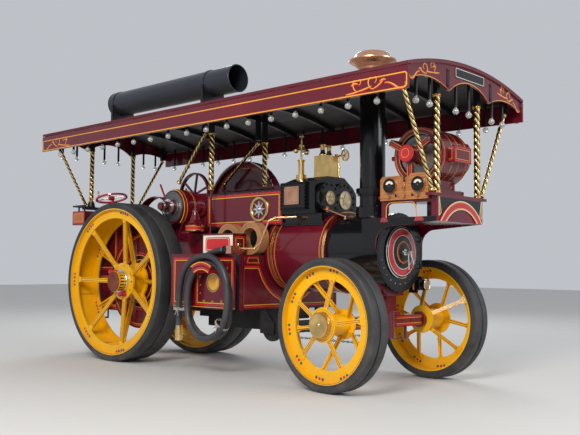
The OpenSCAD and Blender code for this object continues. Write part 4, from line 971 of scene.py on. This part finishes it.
# Switchboard: black-rimmed meters with blank pale arcs, a knife switch, knobs and brass screws

BOARD_FACE, METER_FACE = 480, 510
for x in (4265, 4610):
    meter = face("right", METER_FACE, x, 2125)
    turned(work("meter_rims", "black_gloss"), meter,
           [(62, -1), (75.5, -1), (76.5, 4), (74, 10), (66, 12), (62, 8), (62, -1)], 40)
    turned(work("meter_faces", "black_paint"), meter, [(0.02, 2.5), (63, 2.5), (63, 0)], 40)
    plate(work("meter_arcs", "ivory_paint"), meter @ move(0, 0, 2.4),
          arc(0, -6, 54, 25, 155, 16) + arc(0, -4, 27, 155, 25, 16), 1.0)
    ticks = work("meter_ticks", "black_paint")
    for i in range(11):
        half = 1.8 if i % 5 == 0 else 0.8
        plate(ticks, meter @ spun(30 + 12 * i) @ move(0, 0, 3.2), rectangle(44, 51, -half, half), 0.5)
    plate(ticks, meter @ spun(64) @ move(0, 0, 3.4), [(-8, -2), (46, -0.6), (46, 0.6), (-8, 2)], 0.8)
    board_brass = work("board_brass", "brass")
    ball(board_brass, (0, 0, 0), 6, 0.6, meter @ move(0, -6, 4))
board_black = work("board_black", "black_gloss")
for x, z in ((4170, 1995), (4170, 2205), (4680, 1995), (4680, 2215), (4335, 1995), (4540, 1995)):
    nuts(board_brass, [face("right", BOARD_FACE, x, z)], 5, 4)
for x in (4250, 4600):
    turned(board_brass, face("right", METER_FACE, x, 2010), [(0.02, 12), (9, 10), (12, 4), (9, 0), (6, -2)], 20)
for x in (4330, 4530):
    turned(board_black, face("right", BOARD_FACE, x, 2022),
           [(0.02, 22), (8, 20), (11, 14), (8, 8), (16, 4), (16, -1)], 20)
    rod(board_brass, (x + 22, -BOARD_FACE - 10, 2014), (x + 46, -BOARD_FACE - 10, 2010), 4, sides=8)
for low in (2035, 2110):
    block(board_brass, 4429, 4445, -BOARD_FACE - 14, -BOARD_FACE, low, low + 25, 2)
block(work("board_copper", "copper"), 4433, 4441, -BOARD_FACE - 22, -BOARD_FACE - 12, 2040, 2160, 2)
rod(board_black, (4437, -BOARD_FACE - 17, 2155), (4437, -BOARD_FACE - 17, 2215), 9, 6, 16)
strip(work("board_bead", "varnished_wood"), face("right", BOARD_FACE),
      [(4130, 1975), (4715, 1975), (4715, 2215), (4690, 2240), (4510, 2240), (4470, 2205), (4400, 2205), (4370, 2225),
       (4160, 2225), (4130, 2195)], 9, 4)

# Dynamo stand: rounded corners and orange lining in the side frames, crimson feet, gussets' faces

STAND_Y = 446
for side in FLANKS:
    flip, frame_side = SIDES[side][1], face(side, STAND_Y)
    for x, way in ((4190, 1), (4540, -1)):
        corner = [(x, 1945)] + [(x + way * (60 - u), v) for u, v in arc(0, 1885, 60, 0, 90, 6)]
        plate(work("frame_corners", "maroon_paint"), frame_side @ move(0, 0, -20), mirrored(corner, flip), 20)
    line = [(4180, 1800)] + arc(4250, 1885, 70, 180, 90, 6) + arc(4480, 1885, 70, 90, 0, 6) + [(4550, 1800)]
    line = [frame_side @ Vector((u, v, -1)) for u, v in mirrored(line, flip)]
    for a, b in zip(line, line[1:]):
        rod(work("frame_lining", "gold_line"), a, b, 5.5, sides=6)
    for x0, x1 in ((4110, 4200), (4530, 4640)):
        foot = [(x0 + 14, 1800), (x1 - 14, 1800), (x1, 1756), (x0, 1756)]
        plate(work("frame_feet", "red_paint"), frame_side, mirrored(foot, flip), 10)
        nuts(work("frame_nuts", "bare_steel"), spots(side, STAND_Y + 10, (x0 + 26, x1 - 26), (1774,)), 9, 8)
    bend = [(4210 + 171 * cos(radians(a)), 1540 + 169 * sin(radians(a))) for a in range(180, 89, -15)]
    gusset = [(3861, 1481), (4039, 1481)] + bend + [(4785, 1749), (4785, 1799), (3861, 1799)]
    plate(work("gusset_black", "black_gloss"), frame_side, mirrored(gusset, flip), 0.9)
# front board: black panel, lined corner brackets, the blank arch with its pale rims
SIGN, SIGN_Z, SIGN_FOOT, FIELD_FOOT, LEVEL = 4814, 1475, 1750, 1790, [(0, -1, 0)]
front_panel = [(-372, 1790), (372, 1790), (404, 1990), (-404, 1990)]
plate(work("front_panel", "black_gloss"), face("front", 4800), front_panel, 2)
for flip in (-1, 1):
    taper = mirrored([(426, 1992), (412, 1992), (380, 1830), (426, 1800)], flip)
    strip(work("front_brackets", "ivory_paint"), face("front", 4802), taper, 4, 3)
    strip(work("front_bracket_lines", "gold_line"), face("front", 4802), taper, 3, 4, inset=7)
for r, finish in ((410, "ivory_paint"), (420, "gold_line"), (482, "gold_line"), (491, "ivory_paint")):
    part_hoop(coat("sign_rims", finish), face("front", SIGN, 0, SIGN_Z), r, 7, 1.6, 120, LEVEL, SIGN_FOOT - SIGN_Z)
for name, finish, depth, foot, profile in (
        ("sign_field", "maroon_paint", 4802, FIELD_FOOT, [(0.02, 0.6), (405, 0.6), (405, -1), (0.02, -1)]),
        ("sign_red", "red_paint", SIGN, SIGN_FOOT, [(406, -1), (406, 1.0), (495, 1.0), (495, -1), (406, -1)])):
    field = bmesh.new()
    turned(field, Matrix(), profile, 120)
    join(work(name, finish), trimmed(field, LEVEL, foot - SIGN_Z), [face("front", depth, 0, SIGN_Z)])

# Dynamo: lined rings and spiders, the coral boss, brushes and commutator, the framed terminal box

YOKE_X, YOKE_Z = 4450, 2450
YOKE = move(YOKE_X, 0, YOKE_Z) @ spun(90, "X")
for y, width, finish in ((244, 10, "red_line"), (222, 5, "gold_line"), (-234, 10, "red_line"), (-217, 5, "gold_line"),
                         (60, 5, "gold_line"), (-65, 5, "gold_line")):
    band(coat("dynamo", finish), YOKE @ move(0, 0, y - width / 2), 300, width, 1.2, 72)
gold, red = coat("dynamo", "gold_line"), coat("dynamo", "red_line")
for y in (-1, 1):
    end = YOKE @ move(0, 0, 260 * y) @ (Matrix() if y > 0 else BACKWARD)
    rings("dynamo", end, ((289, 9, "red_line"), (277, 5, "gold_line"), (236, 5, "gold_line")), 1.2, 72)
near = YOKE @ move(0, 0, 480)
turned(work("dynamo_boss", "red_paint"), near, [(0.02, 16), (66, 16), (84, 12), (90, 4), (90, -6), (61, -6)], 48)
hoop(gold, near, 88, 5, 3, 48)
hoop(gold, near @ move(0, 0, 16), 46, 4, 1.2, 40)
turned(work("dynamo_commutator", "copper"), YOKE @ move(0, 0, 252), [(61, 66), (104, 66), (104, 0), (61, 0)], 60)
for i in range(3):
    spider = YOKE @ spun(-90 - 120 * i) @ move(0, 0, 420)
    for v in (-24, 24):
        plate(gold, spider, rectangle(100, 262, v - 2.5, v + 2.5), 1.2)
    plate(red, spider, rectangle(100, 262, -5, 5), 1.2)
    nuts(work("dynamo_nuts", "bare_steel"), [spider @ move(276, 0, 0)], 11, 10)
for i in range(4):
    brush = bmesh.new()
    block(brush, -22, 22, -14, 14, -24, 24, 3)
    join(work("dynamo_brushes", "brass"), brush, [YOKE @ spun(45 + 90 * i) @ move(128, 0, 284)])
lined_panel("dynamo_box", "front", 4810, -132, 192, 2378, 2532, corner=6, red=(2, 12), gold=(24, 5))
lined_panel("dynamo_box", "right", 140, 4720, 4804, 2378, 2532, corner=4, red=(4, 8), gold=(20, 4))
hoop(work("pulley_steel", "polished_steel", "dynamo_armature"), YOKE @ move(0, 0, -545) @ BACKWARD, 128, 40, 1.5, 60)
nuts(work("dynamo_nuts", "bare_steel"), [move(YOKE_X + x, y, 2090) for x in (-215, 215) for y in (-210, 210)], 13, 14)

# Smokebox door: red ring with pale rims, polished centre, studs round the smokebox front

DOOR_X = 4050.3
DOOR, SMOKEBOX = face("front", DOOR_X, 0, BOILER_Z), face("front", 0, 0, BOILER_Z)


def door(name, finish, profile, lift=0, sides=96):
    turned(work("door_" + name, finish, "smokebox_door"), DOOR @ move(0, 0, lift), profile, sides)


door("ring", "red_paint", [(190, 32.2), (190, 34.0), (252, 24.6), (252, 22.9)])
for r, height, width, finish in ((257, 22.0, 6, "ivory_paint"), (184, 33.0, 6, "ivory_paint"),
                                 (118, 39.8, 5, "gold_line"), (105, 41.5, 8, "red_line")):
    inner, outer = r - width / 2, r + width / 2
    door(finish, finish, [(inner, height - 0.4), (inner, height + 1.9), (outer, height + 1.3), (outer, height - 1)])
door("rim", "polished_steel", [(281, 8), (287.8, 10), (287.8, 14), (283, 17.5), (279, 19.6), (277, 19)])
door("centre", "polished_steel", [(0.02, 0.4), (34, 0.3), (36, -2), (50, -3.5), (52, -8)], 50, 48)
smokebox_studs = work("smokebox_studs", "black_gloss")
studs(smokebox_studs, [DOOR @ move(*spot, -0.8) for spot in ring(24, 350)], 12, 10)
hoop(work("smokebox_rim", "black_gloss"), DOOR @ move(0, 0, -0.4), 402, 20, 3, 96)
for x in (3372, 4020):
    studs(smokebox_studs, [SMOKEBOX @ spun(a) @ move(430, 0, x) @ spun(90, "Y") for a in range(0, 360, 10)], 10, 8)

# Boiler: polished bands with black, red and gold lines beside them

BEFORE = ((-14, 10, "black_gloss"), (-30, 10, "red_line"), (-42, 5, "gold_line"))
BEHIND = ((38, 10, "black_gloss"), (52, 10, "red_line"), (68, 5, "gold_line"))
for x, ways in ((2520, BEFORE + BEHIND), (3316, BEFORE)):
    for shift, width, finish in ways:
        band(coat("boiler", finish), SMOKEBOX @ move(0, 0, x + shift), 465, width, 1.0, 96)
    for inset in (1, 29):
        turned(work("band_beads", "brass"), SMOKEBOX @ move(0, 0, x + inset),
               [(470, 0), (472, 0.6), (472.6, 2), (472, 3.4), (470, 4)], 96)

# Cylinder block: nuts round the valve chest, studs, the blank copper plate, ringed front covers

CHEST_X, CHEST_Z = (2651, 3009), (1961, 2249)
CHEST_NUTS = [(CHEST_X[0] + 358 * i / 9, z) for i in range(10) for z in CHEST_Z]
CHEST_NUTS += [(x, CHEST_Z[0] + 288 * i / 7) for i in range(1, 7) for x in CHEST_X]
for side in FLANKS:
    nuts(work("chest_nuts", "black_gloss"), [face(side, 419, *spot) for spot in CHEST_NUTS], 12, 12)
    for y, xs, z in ((385, range(2640, 3130, 44), 1925), (360, range(2640, 3230, 40), 1780)):
        studs(work("cylinder_studs", "black_gloss"), spots(side, y, xs, (z,)), 9, 8)
copper_plate, PLATE = work("copper_plate", "copper"), rectangle(2706, 2934, 2006, 2214)
plate(copper_plate, face("right", 427), PLATE, 1.0, 4)
strip(copper_plate, face("right", 428), PLATE, 8, 2.0, 4)
strip(work("copper_plate_lines", "black_paint"), face("right", 428), PLATE, 2, 0.6, 2, inset=18)
COVERS = ((-185, 2080, 158, 3195, 12, 70), (110, 2070, 176, 3180, 14, 100))
for y, z, r, depth, bolts, _ in COVERS:
    nuts(work("cover_nuts", "black_gloss"), [face("front", depth, *spot) for spot in ring(bolts, r, y, z, 0.5)], 13, 14)
    hoop(work("cover_rings", "brass"), face("front", depth, y, z), (r - 158) * 1.6 + 76, 9, 12, 64)

# Flywheel: bright rim, lined disc

CRANK_X, CRANK_Z = 1128, 2040
for y, way in ((515, 1), (385, -1)):
    wheel_side = move(CRANK_X, y, CRANK_Z) @ spun(-90 * way, "X")
    bright = work("flywheel_steel", "polished_steel", "crankshaft")
    hoop(bright, wheel_side, 690, 14, 1.5, 96)
    rings("flywheel", wheel_side @ move(0, 0, -55),
          ((628, 12, "red_line"), (606, 6, "gold_line"), (150, 10, "red_line"), (168, 5, "gold_line")), 1.2, 96,
          "crankshaft")
band(bright, move(CRANK_X, 387, CRANK_Z) @ spun(-90, "X"), 699.4, 126, 0.4, 128)

# Belt rolls: the turns of the coil, seen on both ends

for x, r in ((1922, 190), (2310, 195)):
    turns = [((r - 67 + 64 * k / 180) * cos(14 * pi * k / 180), (r - 67 + 64 * k / 180) * sin(14 * pi * k / 180))
             for k in range(181)]
    for side, depth in (("right", 600), ("left", -470)):
        stroke(work("belt_turns", "black_paint"), face(side, depth, x, 1420.3 + r), turns, 2.2, 0.5)

# Copper pipes: unions and nuts; chimney base bolts and beads; lamp rim and glass

PIPE = [Vector(point) for point in ((2325, -800, 1490), (2500, -710, 1490), (2560, -670, 1560), (2640, -620, 1810),
                                    (2700, -560, 1850), (2900, -430, 1858))]
for i in (1, 4):
    ball(work("pipe_unions", "brass"), PIPE[i], 19)
for i in (0, 4, 2):
    run = PIPE[i + 1] - PIPE[i]
    start = PIPE[i].lerp(PIPE[i + 1], 0.42)
    rod(work("pipe_unions", "brass"), start, start + run.normalized() * 34, 21, sides=6)
valve = work("tank_valve", "brass")
turned(valve, Matrix.Translation(PIPE[0]),
       [(0.02, 62), (12, 60), (14, 52), (8, 44), (10, 30), (24, 26), (26, 8), (31, 0)], 24)
rod(valve, (2325, -838, 1540), (2325, -762, 1540), 5, sides=8)
nuts(work("chimney_nuts", "black_gloss"), [move(*spot, 1953) for spot in ring(10, 172, CHIMNEY_X, 0)], 13, 16)
for z, r in ((2088, 165), (2156, 183)):
    turned(work("chimney_beads", "black_gloss"), move(CHIMNEY_X, 0, z), [(r, 0), (r + 4, 3), (r + 4, 9), (r, 12)], 64)
LAMP = face("front", 4084, 470, 1092)
turned(work("lamp_rim", "brass"), LAMP, [(50, 0), (66, 0), (66, 5), (60, 9), (52, 6), (50, 0)], 40)
turned(work("lamp_glass", "bulb_glass"), LAMP, [(0.02, 9), (30, 7), (51, 1)], 40)

# Hose: string ties on the coil, clamps and fluted strainer, coupling nut, saddle borders

def tie(centre, out, a, b):
    """String wound three times round some lengths of hose, with a bow in front."""
    bm = work("hose_ties", "string", slot="hose_rubber")
    centre, out, across = Vector(centre), Vector(out).normalized(), Vector((0, 1, 0))
    up = out.cross(across)
    for k in range(3):
        wound = [centre + out * a * cos(t) + across * b * sin(t) + up * (10 * k - 10 + 5 * sin(t / 2))
                 for t in [2 * pi * i / 28 for i in range(29)]]
        for p, q in zip(wound, wound[1:]):
            rod(bm, p, q, 4.5, sides=6)
    knot = centre + Vector((0, -b - 4, 0))
    ball(bm, knot, 13, detail=1)
    for turn, length in ((25, 62), (150, 56), (250, 70), (300, 84)):
        turn = radians(turn)
        away, side = out * cos(turn) + up * sin(turn), up * cos(turn) - out * sin(turn)
        for p, q in ((0.0, 0.5), (0.5, 1.0)):
            for way in (14, -14) if length < 65 else (14,):
                rod(bm, knot + away * length * p + side * way * p,
                    knot + away * length * q + side * (way if q < 1 else 0), 4, sides=6)


tie((1517, -963, 760), (1, 0, 0), 118, 84)
tie((2241, -963, 606), (0.772, 0, -0.636), 86, 84)
for r, width, finish, rise in ((271, 92, "maroon_paint", 0.5), (310, 10, "gold_line", 1.6), (292, 13, "red_line", 1.4),
                               (250, 13, "red_line", 1.4), (231, 10, "gold_line", 1.6)):
    part_hoop(coat("saddle", finish), face("right", 1065, HOSE_X, 1015), r, width, rise, 120,
              ((-0.832, -0.555, 0), (0.832, -0.555, 0)))
strainer = move(1440, -940, 380)
for z in (4, 30, 56, 82, 108):
    turned(work("strainer_rings", "hub_copper", slot="copper"), strainer @ move(0, 0, z),
           [(45, 0), (47.8, 2), (47.8, 14), (45, 16)], 32)
for z in (136, 156):
    turned(work("strainer_clamps", "brass"), strainer @ move(0, 0, z), [(38, 0), (43.5, 1), (43.5, 9), (38, 10)], 32)
coupling = face("front", 2262, -930, 1475)
turned(work("coupling", "black_gloss"), coupling,
       [(36, -30), (46, -28), (46, -14), (41, -12), (41, -4), (50, 0), (50, 22), (44, 27), (37, 27)], 12)
turned(work("coupling_clamps", "polished_steel"), coupling, [(38, -52), (42, -51), (42, -43), (38, -42)], 32)

# Front axle: lines; hornplates: rivets

for way in (1, -1):
    beam = move(WHEELBASE, 0, 0) @ spun(FRONT_TURN) @ facing((60 * way, 0, 690), (way, 0, 0))
    for v, width, finish in ((46, 10, "red_line"), (30, 5, "gold_line"), (-30, 5, "gold_line"), (-46, 10, "red_line")):
        for u in (-590, 130):
            plate(coat("beam", finish, "steered_axle"), beam, rectangle(u, u + 460, v - width / 2, v + width / 2), 1.2)
horn_studs = work("horn_studs", "maroon_paint")
studs(horn_studs, spots("right", 318, (980, 1010), range(1700, 2230, 52)), 12, 10)
for y, x, zs, r in ((318, 1244, range(1680, 2180, 44), 9), (373, 1228, range(1440, 1770, 44), 10)):
    for side in FLANKS:
        studs(horn_studs, spots(side, y, (x,), zs), r, r - 1)

# Tender: lined bunker panels, rivets

for side in FLANKS:
    plate(work("bunker_boards", "board_paint", slot="varnished_wood"), face(side, 660),
          panel(side, -1426, -1134, 1902, 2070), 0.7, 8)
    lined_panel("bunker", side, 660, -1428, -1132, 1900, 2072, corner=14, red=(8, 10), gold=(26, 6))
    lined_panel("tender", side, 470, -1385, -535, 1200, 1860, corner=24)
    lined_panel("tender", side, 470, -1385, -345, 660, 1160, corner=24)
    studs(work("tender_rivets", "maroon_paint"), spots(side, 470, range(-1380, -340, 42), (1180,)), 8, 7)
lined_panel("bunker", "back", 1440, -640, 640, 1900, 2070, corner=20, red=(10, 12), gold=(32, 6))
lined_panel("tender", "back", 1400, -450, 450, 1200, 1860, corner=24)
lined_panel("tender", "back", 1400, -450, 450, 900, 1160, corner=20)
studs(work("tender_rivets", "maroon_paint"), spots("back", 1400, range(-450, 460, 45), (1180,)), 8, 7)

# Tyres: two rubber bands side by side with the groove between them, rounded at the edges

def tread(r0, r, half, groove):
    return [(r0, -half), (r - 24, -half), (r - 12, -half + 4), (r - 4, -half + 12), (r, -half + 26),
            (r - 1, groove - 16), (r - 5, groove - 11), (r - 20, groove - 9), (r - 20, groove + 9),
            (r - 5, groove + 11), (r - 1, groove + 16), (r, half - 26), (r - 4, half - 12), (r - 12, half - 4),
            (r - 24, half), (r0 + 30, half), (r0 + 26, half - 3), (r0 + 14, half - 3), (r0 + 10, half), (r0, half),
            (r0, -half)]


for side, hand in ((-1, "right"), (1, "left")):
    for end, wheel, size in (("rear", REAR_PLACE, (985.3, 1067, 212.5, 21)),
                             ("front", FRONT_PLACE, (605.3, 690, 116, 12))):
        name, place = f"{end}_tread_{hand}", wheel_place(wheel, side)
        turned(work(name, "tyre_rubber", f"{end}_wheel_{hand}", None, 50, place), Matrix(), tread(*size), 96)

# Front cylinder covers: pale discs with brass stars over dark ones

for y, z, _, depth, _, r in COVERS:
    cover = face("front", depth, y, z)
    turned(work("cover_discs", "ivory_paint"), cover, [(0.02, 8), (r - 6, 8), (r, 4), (r, 0.3)], 48)
    for name, finish, size, rise in (("cover_star_shadows", "black_paint", 0.88, 1.5),
                                     ("cover_stars", "brass", 0.78, 4)):
        plate(work(name, finish), cover @ move(0, 0, 8), star(5, r * size, r * size * 0.42), rise)

# Steering chains: oval links, each turned a quarter from the last

for hand in ("right", "left"):
    low, high = (Vector(corner) * 1000 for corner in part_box("chain_" + hand))
    thick = min(high.y - low.y, high.z - low.z) / 38
    link = bmesh.new()
    loop = [link.verts.new((u, 0, v)) for u, v in ring(6, 6, 13)]
    edges = [link.edges.new(pair) for pair in zip(loop, loop[1:] + loop[:1])]
    bmesh.ops.spin(link, geom=loop + edges, cent=(0, 0, 0), axis=(0, 0, 1), dvec=(0, 0, 0), angle=2 * pi, steps=12,
                   use_merge=True)
    bmesh.ops.scale(link, vec=(1.9 * thick, thick, thick), verts=link.verts[:])
    bmesh.ops.recalc_face_normals(link, faces=link.faces[:])
    start, end = low.x - AXLE * 1000 + 37 * thick, high.x - AXLE * 1000 - 37 * thick
    gaps = round((end - start) / (49 * thick))
    y, z = (low.y + high.y) / 2, (low.z + high.z) / 2
    links = [move(start + (end - start) * i / gaps, y, z) @ spun(90 * (i % 2), "X") for i in range(gaps + 1)]
    join(work("links_" + hand, "bare_steel", "steering_chain_" + hand), link, links)

# The floor and the lights

floor_form = bmesh.new()
bmesh.ops.create_grid(floor_form, x_segments=1, y_segments=1, size=40)
floor_mesh = bpy.data.meshes.new("floor")
floor_form.to_mesh(floor_mesh)
floor_form.free()
floor = bpy.data.objects.new("floor", floor_mesh)
bpy.context.scene.collection.objects.link(floor)
floor_look = bpy.data.materials.new("floor")
floor_look.use_nodes = True
floor_skin = floor_look.node_tree.nodes["Principled BSDF"].inputs
floor_skin["Base Color"].default_value = (0.62, 0.61, 0.59, 1)
floor_skin["Roughness"].default_value = 0.85
floor_mesh.materials.append(floor_look)

sky = bpy.data.worlds.new("studio")
sky.use_nodes = True
sky_light = sky.node_tree.nodes["Background"].inputs
sky_light["Color"].default_value = (0.86, 0.90, 0.96, 1)
sky_light["Strength"].default_value = 0.6
bpy.context.scene.world = sky
bpy.context.scene.view_settings.view_transform = "Standard"


def soft_light(name, place, target, width, height, watts, tint=(1, 1, 1)):
    data = bpy.data.lights.new(name, "AREA")
    data.shape, data.size, data.size_y, data.energy, data.color = "RECTANGLE", width, height, watts, tint
    lamp = bpy.data.objects.new(name, data)
    lamp.matrix_world = Matrix.Translation(place) @ along_z(Vector(place) - Vector(target))
    bpy.context.scene.collection.objects.link(lamp)


soft_light("key", (5.5, -10.0, 7.5), (0, 0, 1.5), 4, 4, 1150, (1, 0.96, 0.90))
soft_light("fill", (12.0, 3.0, 5.0), (1, 0, 1.5), 5, 4, 380, (0.95, 0.97, 1))
soft_light("back", (-6.0, 8.0, 8.0), (0, 0, 2), 6, 4, 450)

STANDS_FOR = {"pillar_rods": "pillars", "stay_rods": "stays", "cover_stars": "cylinder_covers",
              "links_right": "chain_right", "links_left": "chain_left"}
for hand in ("right", "left"):
    STANDS_FOR["rear_tread_" + hand] = "tyre_rear_" + hand
    STANDS_FOR["front_tread_" + hand] = "tyre_front_" + hand
for name, gathered in WORK.items():
    made = piece(name, *gathered)
    if name in STANDS_FOR:
        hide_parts(STANDS_FOR[name])
